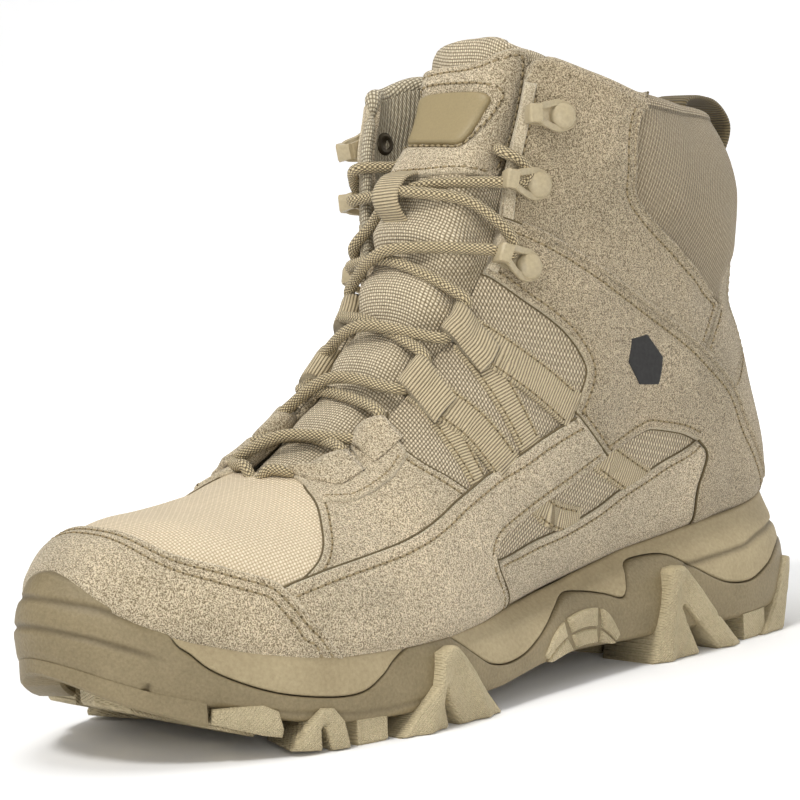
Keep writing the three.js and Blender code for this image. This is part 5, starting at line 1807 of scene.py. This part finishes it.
def buildHook(name, section, side):
    base, ahead, normal, along = hookFrame(section, side)
    base = base + normal * (upperPanels["shaftFront"] + .1)
    tilt = -hookLook["tilt"] * side  # the lip points up the throat a little
    cosine, sine = math.cos(tilt), math.sin(tilt)
    ahead, along = ahead * cosine + along * sine, along * cosine - ahead * sine
    at = lambda a, b, n: base + ahead * a + along * b + normal * n
    made = Gather()
    size, arm, high, lipAt, half = (hookLook[k] for k in ("rivet", "arm", "lipHeight", "lipAt", "lipHalf"))
    high = high if side > 0 else high * hookLook["innerLip"]
    profile = [(.8, -.8), (.8, 1.2), (1, 1.3), (1, 2.0), (.95, 2.6), (.84, 2.95), (.6, 3.3), (.3, 3.5),
               (.1, 3.55)]
    turns = anglesRound(32)
    rings = [[at(size * r * math.cos(v), size * r * math.sin(v), n) for v in turns] for r, n in profile]
    made.add(*outward(*skinOver(rings)))
    plate = [(-4.6, 1.6), (-3.8, 3.2), (-1.5, 4.3), (1.5, 4.2), (5.5, 3.0), (lipAt + .4, half - .1)]
    outline = np.array([*plate, *[(a, -b) for a, b in plate[::-1]]])
    levels = ((.95, -.7), (1, -.5), (1, .25), (.96, .45))
    rings = [[at(a * s, b * s, n) for a, b in outline] for s, n in levels]
    made.add(*outward(*skinOver(rings)))
    for sign in (1, -1):  # the two arms that carry the lip, flat straps of metal
        run = np.array([(lipAt - .2, .62 * half, high - .4), (7.3, .95 * half, high - .8),
                        (4.6, 3.1, high - 3.0), (2.2, 3.75, 2.2), (-.4, 3.85, 1.25), (-2.8, 2.6, .9)])
        fine = smoothRows(run, np.linspace(0, len(run) - 1, 26))
        rings = []
        for a, b, n in fine:
            wide = arm * (1.05 if a > 1 else .85)
            rings.append([at(a, sign * (b + dx * wide), n + dz * .75) for dx, dz in
                          ((-.8, -1), (.8, -1), (1, -.6), (1, .6), (.8, 1), (-.8, 1), (-1, .6), (-1, -.6))])
        made.add(*outward(*skinOver(rings)))
    block = []
    for n, a, wide, deep in ((-.3, lipAt + .9, half - .1, .8), (1.6, lipAt + 1.2, half - .1, .8),
                             (3.6, lipAt + 1.2, half + .1, .95), (5.0, lipAt + .7, half + .3, 1.5),
                             (high + .1, lipAt + .1, half + .4, 1.9),
                             (high + .75, lipAt - .1, half + .1, 1.5)):
        corner = [(deep, wide * .75), (deep * .75, wide), (-deep * .75, wide), (-deep, wide * .75)]
        corner += [(d, -w) for d, w in corner[::-1]]
        block.append([at(a + d, w, n) for d, w in corner])
    made.add(*outward(*skinOver(block)))
    piece = made.make(name, hookMetal, "hook_metal")
    piece.data.set_sharp_from_angle(angle=.6)
    return piece


rivetBack = [(3.6, -.6), (3.6, .3), (3.0, .8), (2.0, .7), (1.6, .1), (.5, 0)]  # radius, height


def buildHooks():
    for number, places in enumerate(hooks, 1):
        for side, at, word in zip((1, -1), places, ("outer", "inner")):
            piece = buildHook(f"hook_{word}_{number}", at, side)
            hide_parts(f"speed_hook_{word}_{number}")
            base, ahead, normal, along = hookFrame(at, side)
            depth = paddingAt(np.array([at]), np.array([throatTurn(at, side) - side * .07]))[0]
            back = base - normal * (depth + .1)
            rings = [[back + ahead * r * math.cos(v) + along * r * math.sin(v) - normal * n
                      for v in anglesRound(20)] for r, n in rivetBack]
            points, faces = skinOver(rings)
            addPiece(f"rivetBack_{word}_{number}", points, flipped(faces), darkMetal, "hook_metal")


# Places the lace passes: (section, side, distance in from the throat's edge, height), or on the tongue
# (section, 0, turn, height), or a crossing (section, "x", lift).
laceRoute = [
    (16.9, 1, -4.6, -7.5), (16.8, 1, -4.2, -4.0), (16.7, 1, -3.4, .5), (16.62, 1, -1.0, 3.8),
    (16.6, 1, 2.5, 3.9), (16.33, 1, 5.8, 3.3), (15.95, 1, 4.4, 3.3), (15.72, 1, -1, 4.0),
    (15.3, 0, .90, 2.4), (14.7, "x", 2.2), (13.9, 0, 1.10, 2.4), (13.65, -1, 0, 3.6),
    (13.45, -1, 4.5, 3.6), (13.15, -1, 6.6, 3.3), (12.8, -1, 3.0, 3.6), (12.6, -1, -2.5, 4.0),
    (11.9, "x", 1.2), (11.7, 1, -3.2, 3.6), (11.5, 1, -.6, 2.2), (11.05, 1, .0, 2.0), (10.6, 1, -.6, 2.2),
    (10.35, 1, -3.4, 3.4), (9.95, "x", 4.9), (9.8, -1, -3.0, 3.4), (9.55, -1, -.2, 2.2),
    (9.2, -1, -.6, 2.2), (8.95, -1, -3.2, 3.2), (8.75, "x", 1.3), (8.66, 1, -3.0, 3.2),
    (8.5, 1, -.3, 2.0), (8.15, 1, -.3, 2.0), (7.98, 1, -3.2, 3.0), (7.6, "x", 5.2), (7.25, -1, -3.0, 3.0),
    (7.05, -1, -.5, 2.4), (6.93, -1, -3.0, 2.6), (6.88, 0, 1.0, 4.6), (6.9, 1, -3.0, 2.4),
    (7.05, 1, -.3, 1.9), (7.6, 1, -.3, 1.9), (7.78, 1, -3.0, 3.0), (7.85, "x", 1.5),
    (7.75, -1, -3.0, 3.2), (7.95, -1, -.2, 2.2), (8.3, -1, -.2, 2.2), (8.55, -1, -3.0, 3.2),
    (8.9, "x", 5.0), (9.1, 1, -3.2, 3.4), (9.3, 1, -.5, 2.1), (9.75, 1, .0, 2.1), (9.95, 1, -3.2, 3.4),
    (10.15, "x", 1.2), (10.75, -1, -3.2, 3.6), (11.0, -1, -.4, 2.2), (11.45, -1, -.2, 2.2),
    (11.75, -1, -3.4, 3.6), (12.1, "x", 4.9), (13.3, 1, -3, 4.0), (13.55, 1, 2.2, 3.6),
    (13.85, 1, 5.6, 3.3), (14.25, 1, 4.0, 3.4), (14.5, 1, -1.5, 3.8), (14.6, 0, .90, 3.0),
    (14.35, "x", 5.6), (14.75, 0, 1.09, 3.6), (15.35, -1, -1, 3.8), (15.6, -1, 4.0, 3.4),
    (15.95, -1, 6.6, 3.4), (16.3, -1, 4.0, 3.6), (16.4, -1, -3.0, 3.2), (16.1, 0, 1.12, 2.2),
    (15.95, 0, 1.07, 1.3),
]


def lacePoints():
    points = []
    for section, side, *more in laceRoute:
        if side == "x":
            points.append(raisedAt(tonguePlace, section, 1.0, *more)[0])
        elif side == 0:
            points.append(raisedAt(tonguePlace, section, *more)[0])
        else:
            inset, height = more
            edge = throatTurn(section, side)
            _, scale = localScale(upper, np.array([[section, edge]]))
            points.append(raisedAt(upper, section, edge - side * inset / scale[0], height)[0])
    return np.array(points)


laceLift = dict(sink=.7, reach=1.5, deepest=-9, bridge=.93, smooth=8)  # how it lies on the tongue


def liftOff(path, clear):  # keeps the lace on the tongue, not in it
    t, u = np.meshgrid(np.linspace(throatStart, 17, 240), np.linspace(.85, 1.15, 70), indexing="ij")
    bed = tonguePlace(t.ravel(), u.ravel())
    up = normalsOf(tonguePlace, t.ravel(), u.ravel())
    push = np.zeros(path.shape)
    for i, point in enumerate(path):
        offset = point - bed
        near = np.argmin((offset * offset).sum(1))
        high = float(offset[near].dot(up[near]))
        beside = norm(offset[near] - up[near] * high)
        if beside < laceLift["reach"] and laceLift["deepest"] < high < clear:
            push[i] = up[near] * (clear - high)
    for shift in (1, -1, 1, -1, 1, -1):  # a pulled lace bridges the hollows between high points
        other = np.roll(push, shift, 0)
        higher = norm(other, axis=1) > norm(push, axis=1)
        push[higher] = laceLift["bridge"] * other[higher]
    for _ in range(laceLift["smooth"]):
        push[1:-1] = (push[:-2] + 2 * push[1:-1] + push[2:]) / 4
    return path + push


def buildLace():
    radius = shoe["laceDiameter"] / 2
    path, _ = smoothPath(lacePoints(), 1.6)
    path, along = smoothPath(liftOff(path, radius - laceLift["sink"]), 1.0 * shoe["detail"])
    points, faces, uv = tubeOver(path, along, radius, sides=14)
    piece = addPiece("lace", points, faces, braid, "lace", uv)
    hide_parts("lace_bar", *[f"lace_crossing_{n}" for n in range(1, 6)])
    print(f"the lace is {along[-1]:.0f} mm long")


def flatBand(name, path, wide, width, thickness, material, slot):  # a flat strap along a 3-D path
    path, along = smoothPath(path, 1.4)
    tangent = unit(np.gradient(path, axis=0))
    wide = np.broadcast_to(np.asarray(wide, float), path.shape)
    wide = unit(wide - tangent * (wide * tangent).sum(1, keepdims=True))
    normal = np.cross(wide, tangent)
    across = np.linspace(-1, 1, 9)
    around = [(x, 1) for x in across] + [(x, -1) for x in across[::-1]]
    rings, uv = [], []
    for p, out, up, distance in zip(path, wide, normal, along):
        rings.append([p + out * width / 2 * x + up * side * thickness / 2 * (1 - .5 * x ** 8)
                      for x, side in around])
        uv.append([(distance, x * width / 2) for x, _ in around])
    points, faces = skinOver(rings)
    return addPiece(name, points, flipped(faces), material, slot, capped(uv))


def buildKeeper():
    arch = [(15.6, .8), (15.3, 2.4), (15.05, 4.8), (14.75, 6.6), (14.3, 7.6), (13.95, 6.9), (13.65, 4.4),
            (13.4, 1.5), (13.3, .4)]
    path = [raisedAt(tonguePlace, t, 1.015, h)[0] for t, h in arch]
    wide = pointAt(tonguePlace, 15.0, 1.03) - pointAt(tonguePlace, 15.0, .97)
    piece = flatBand("laceKeeper", path, wide, 10.5, 1.2, webbing, "webbing")
    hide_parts("tongue_lace_keeper")


def buildPullLoop():
    side = [(9.5, 145.5), (2.5, 147.5), (-3.6, 151.5), (-6.6, 158), (-4.6, 163), (.8, 167.3), (8.5, 168.8),
            (14.2, 167.2), (16.4, 158)]
    path = [frameMm(0.0, fwd, z) for fwd, z in side]
    piece = flatBand("pullLoop", path, (1, 0, 0), 15, 1.6, darkWebbing, "webbing")
    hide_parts("heel_pull_loop")


# The seam shades are dark cords, a painted shadow along each panel's edge.
seamShades = [  # edge and the height of the layer under it
    ("quarterFront", .75), ("nylonFront", .75), ("nylonRear", .75), ("bandTop", 1.45), ("shortSeam", 1.6),
    ("windowTopFront", .3), ("windowTopRear", .3), ("windowLow", .3), ("frontSeam", 1.6), ("rearSeam", 1.65),
    ("highSeam", 1.6), ("collarFront", .9)]


def buildSeamShades():  # the shaded edge where one layer ends on the next
    # each cord is painted shadow where one layer ends on the next
    made = Gather()
    fade = rimFade(upper)
    for side in (1, -1):
        for name, height in seamShades:
            line = spaced(upper, cut(name, side), 1.4)
            path = raisedAt(upper, *line.T, height + fade(*line.T, 0))
            path, along = smoothPath(path, 1.4)
            made.add(*tubeOver(path, along, .36, sides=6)[:2])
    made.make("seamShades", paintedEdgeShadow, "suede")


def buildFootbed():  # cloth over the insole, on the insole's own shape
    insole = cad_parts["insole"]
    corners = np.array([tuple(insole.matrix_world @ v.co) for v in insole.data.vertices]) * 1000
    points, same = np.unique(np.round(corners, 3), axis=0, return_inverse=True)
    same = same.ravel()
    faces = [tuple(same[list(p.vertices)]) for p in insole.data.polygons]
    faces = [f for f in faces if len(set(f)) == len(f)]
    piece = addPiece("footbed", points, faces, lining, "lining", uv=points[:, [1, 0]], smooth=False)
    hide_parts("insole")


def buildWelts():  # raised cord under the folded edge of the ankle panel
    made = Gather()
    for side in (1, -1):
        for name, lift, size in (("highSeam", 2.0, .95), ("collarFront", 1.2, .8)):
            line = spaced(upper, cut(name, side), 1.2)[5:-4]
            path = raisedAt(upper, *line.T, lift)
            made.add(*tubeOver(path, runOf(path), size, 8))
    made.make("seamWelts", shaftSuedePaintedShade, "suede")


spot = dict(middle=(14.22, .552), size=(7.5, 9), turned=.3, top=2.32)  # a plain dark hexagon at the ankle


def buildSpot():
    scale = np.array([v.mean() for v in localScale(upper, np.array([spot["middle"]]))])
    angle = anglesRound(6) + spot["turned"]
    corners = np.stack([np.cos(angle), np.sin(angle)], 1) * spot["size"] / scale + spot["middle"]
    panel("ankleSpot", upper, polygon(upper, corners), printInk, "badge_rubber", top=spot["top"], bottom=1.9,
          bevel=.3, spacing=2.0, shape=rimFade(upper))


for side in (1, -1):
    strapSide(side)
    buildTabPatches(side)
buildHolders()
buildHooks()
buildLace()
buildSeamShades()
buildFootbed()
buildKeeper()
buildPullLoop()
buildWelts()
buildSpot()
stitches.make("panelStitches", [thread, stitchHoleShade], "suede")
print("straps, hooks and laces are on")
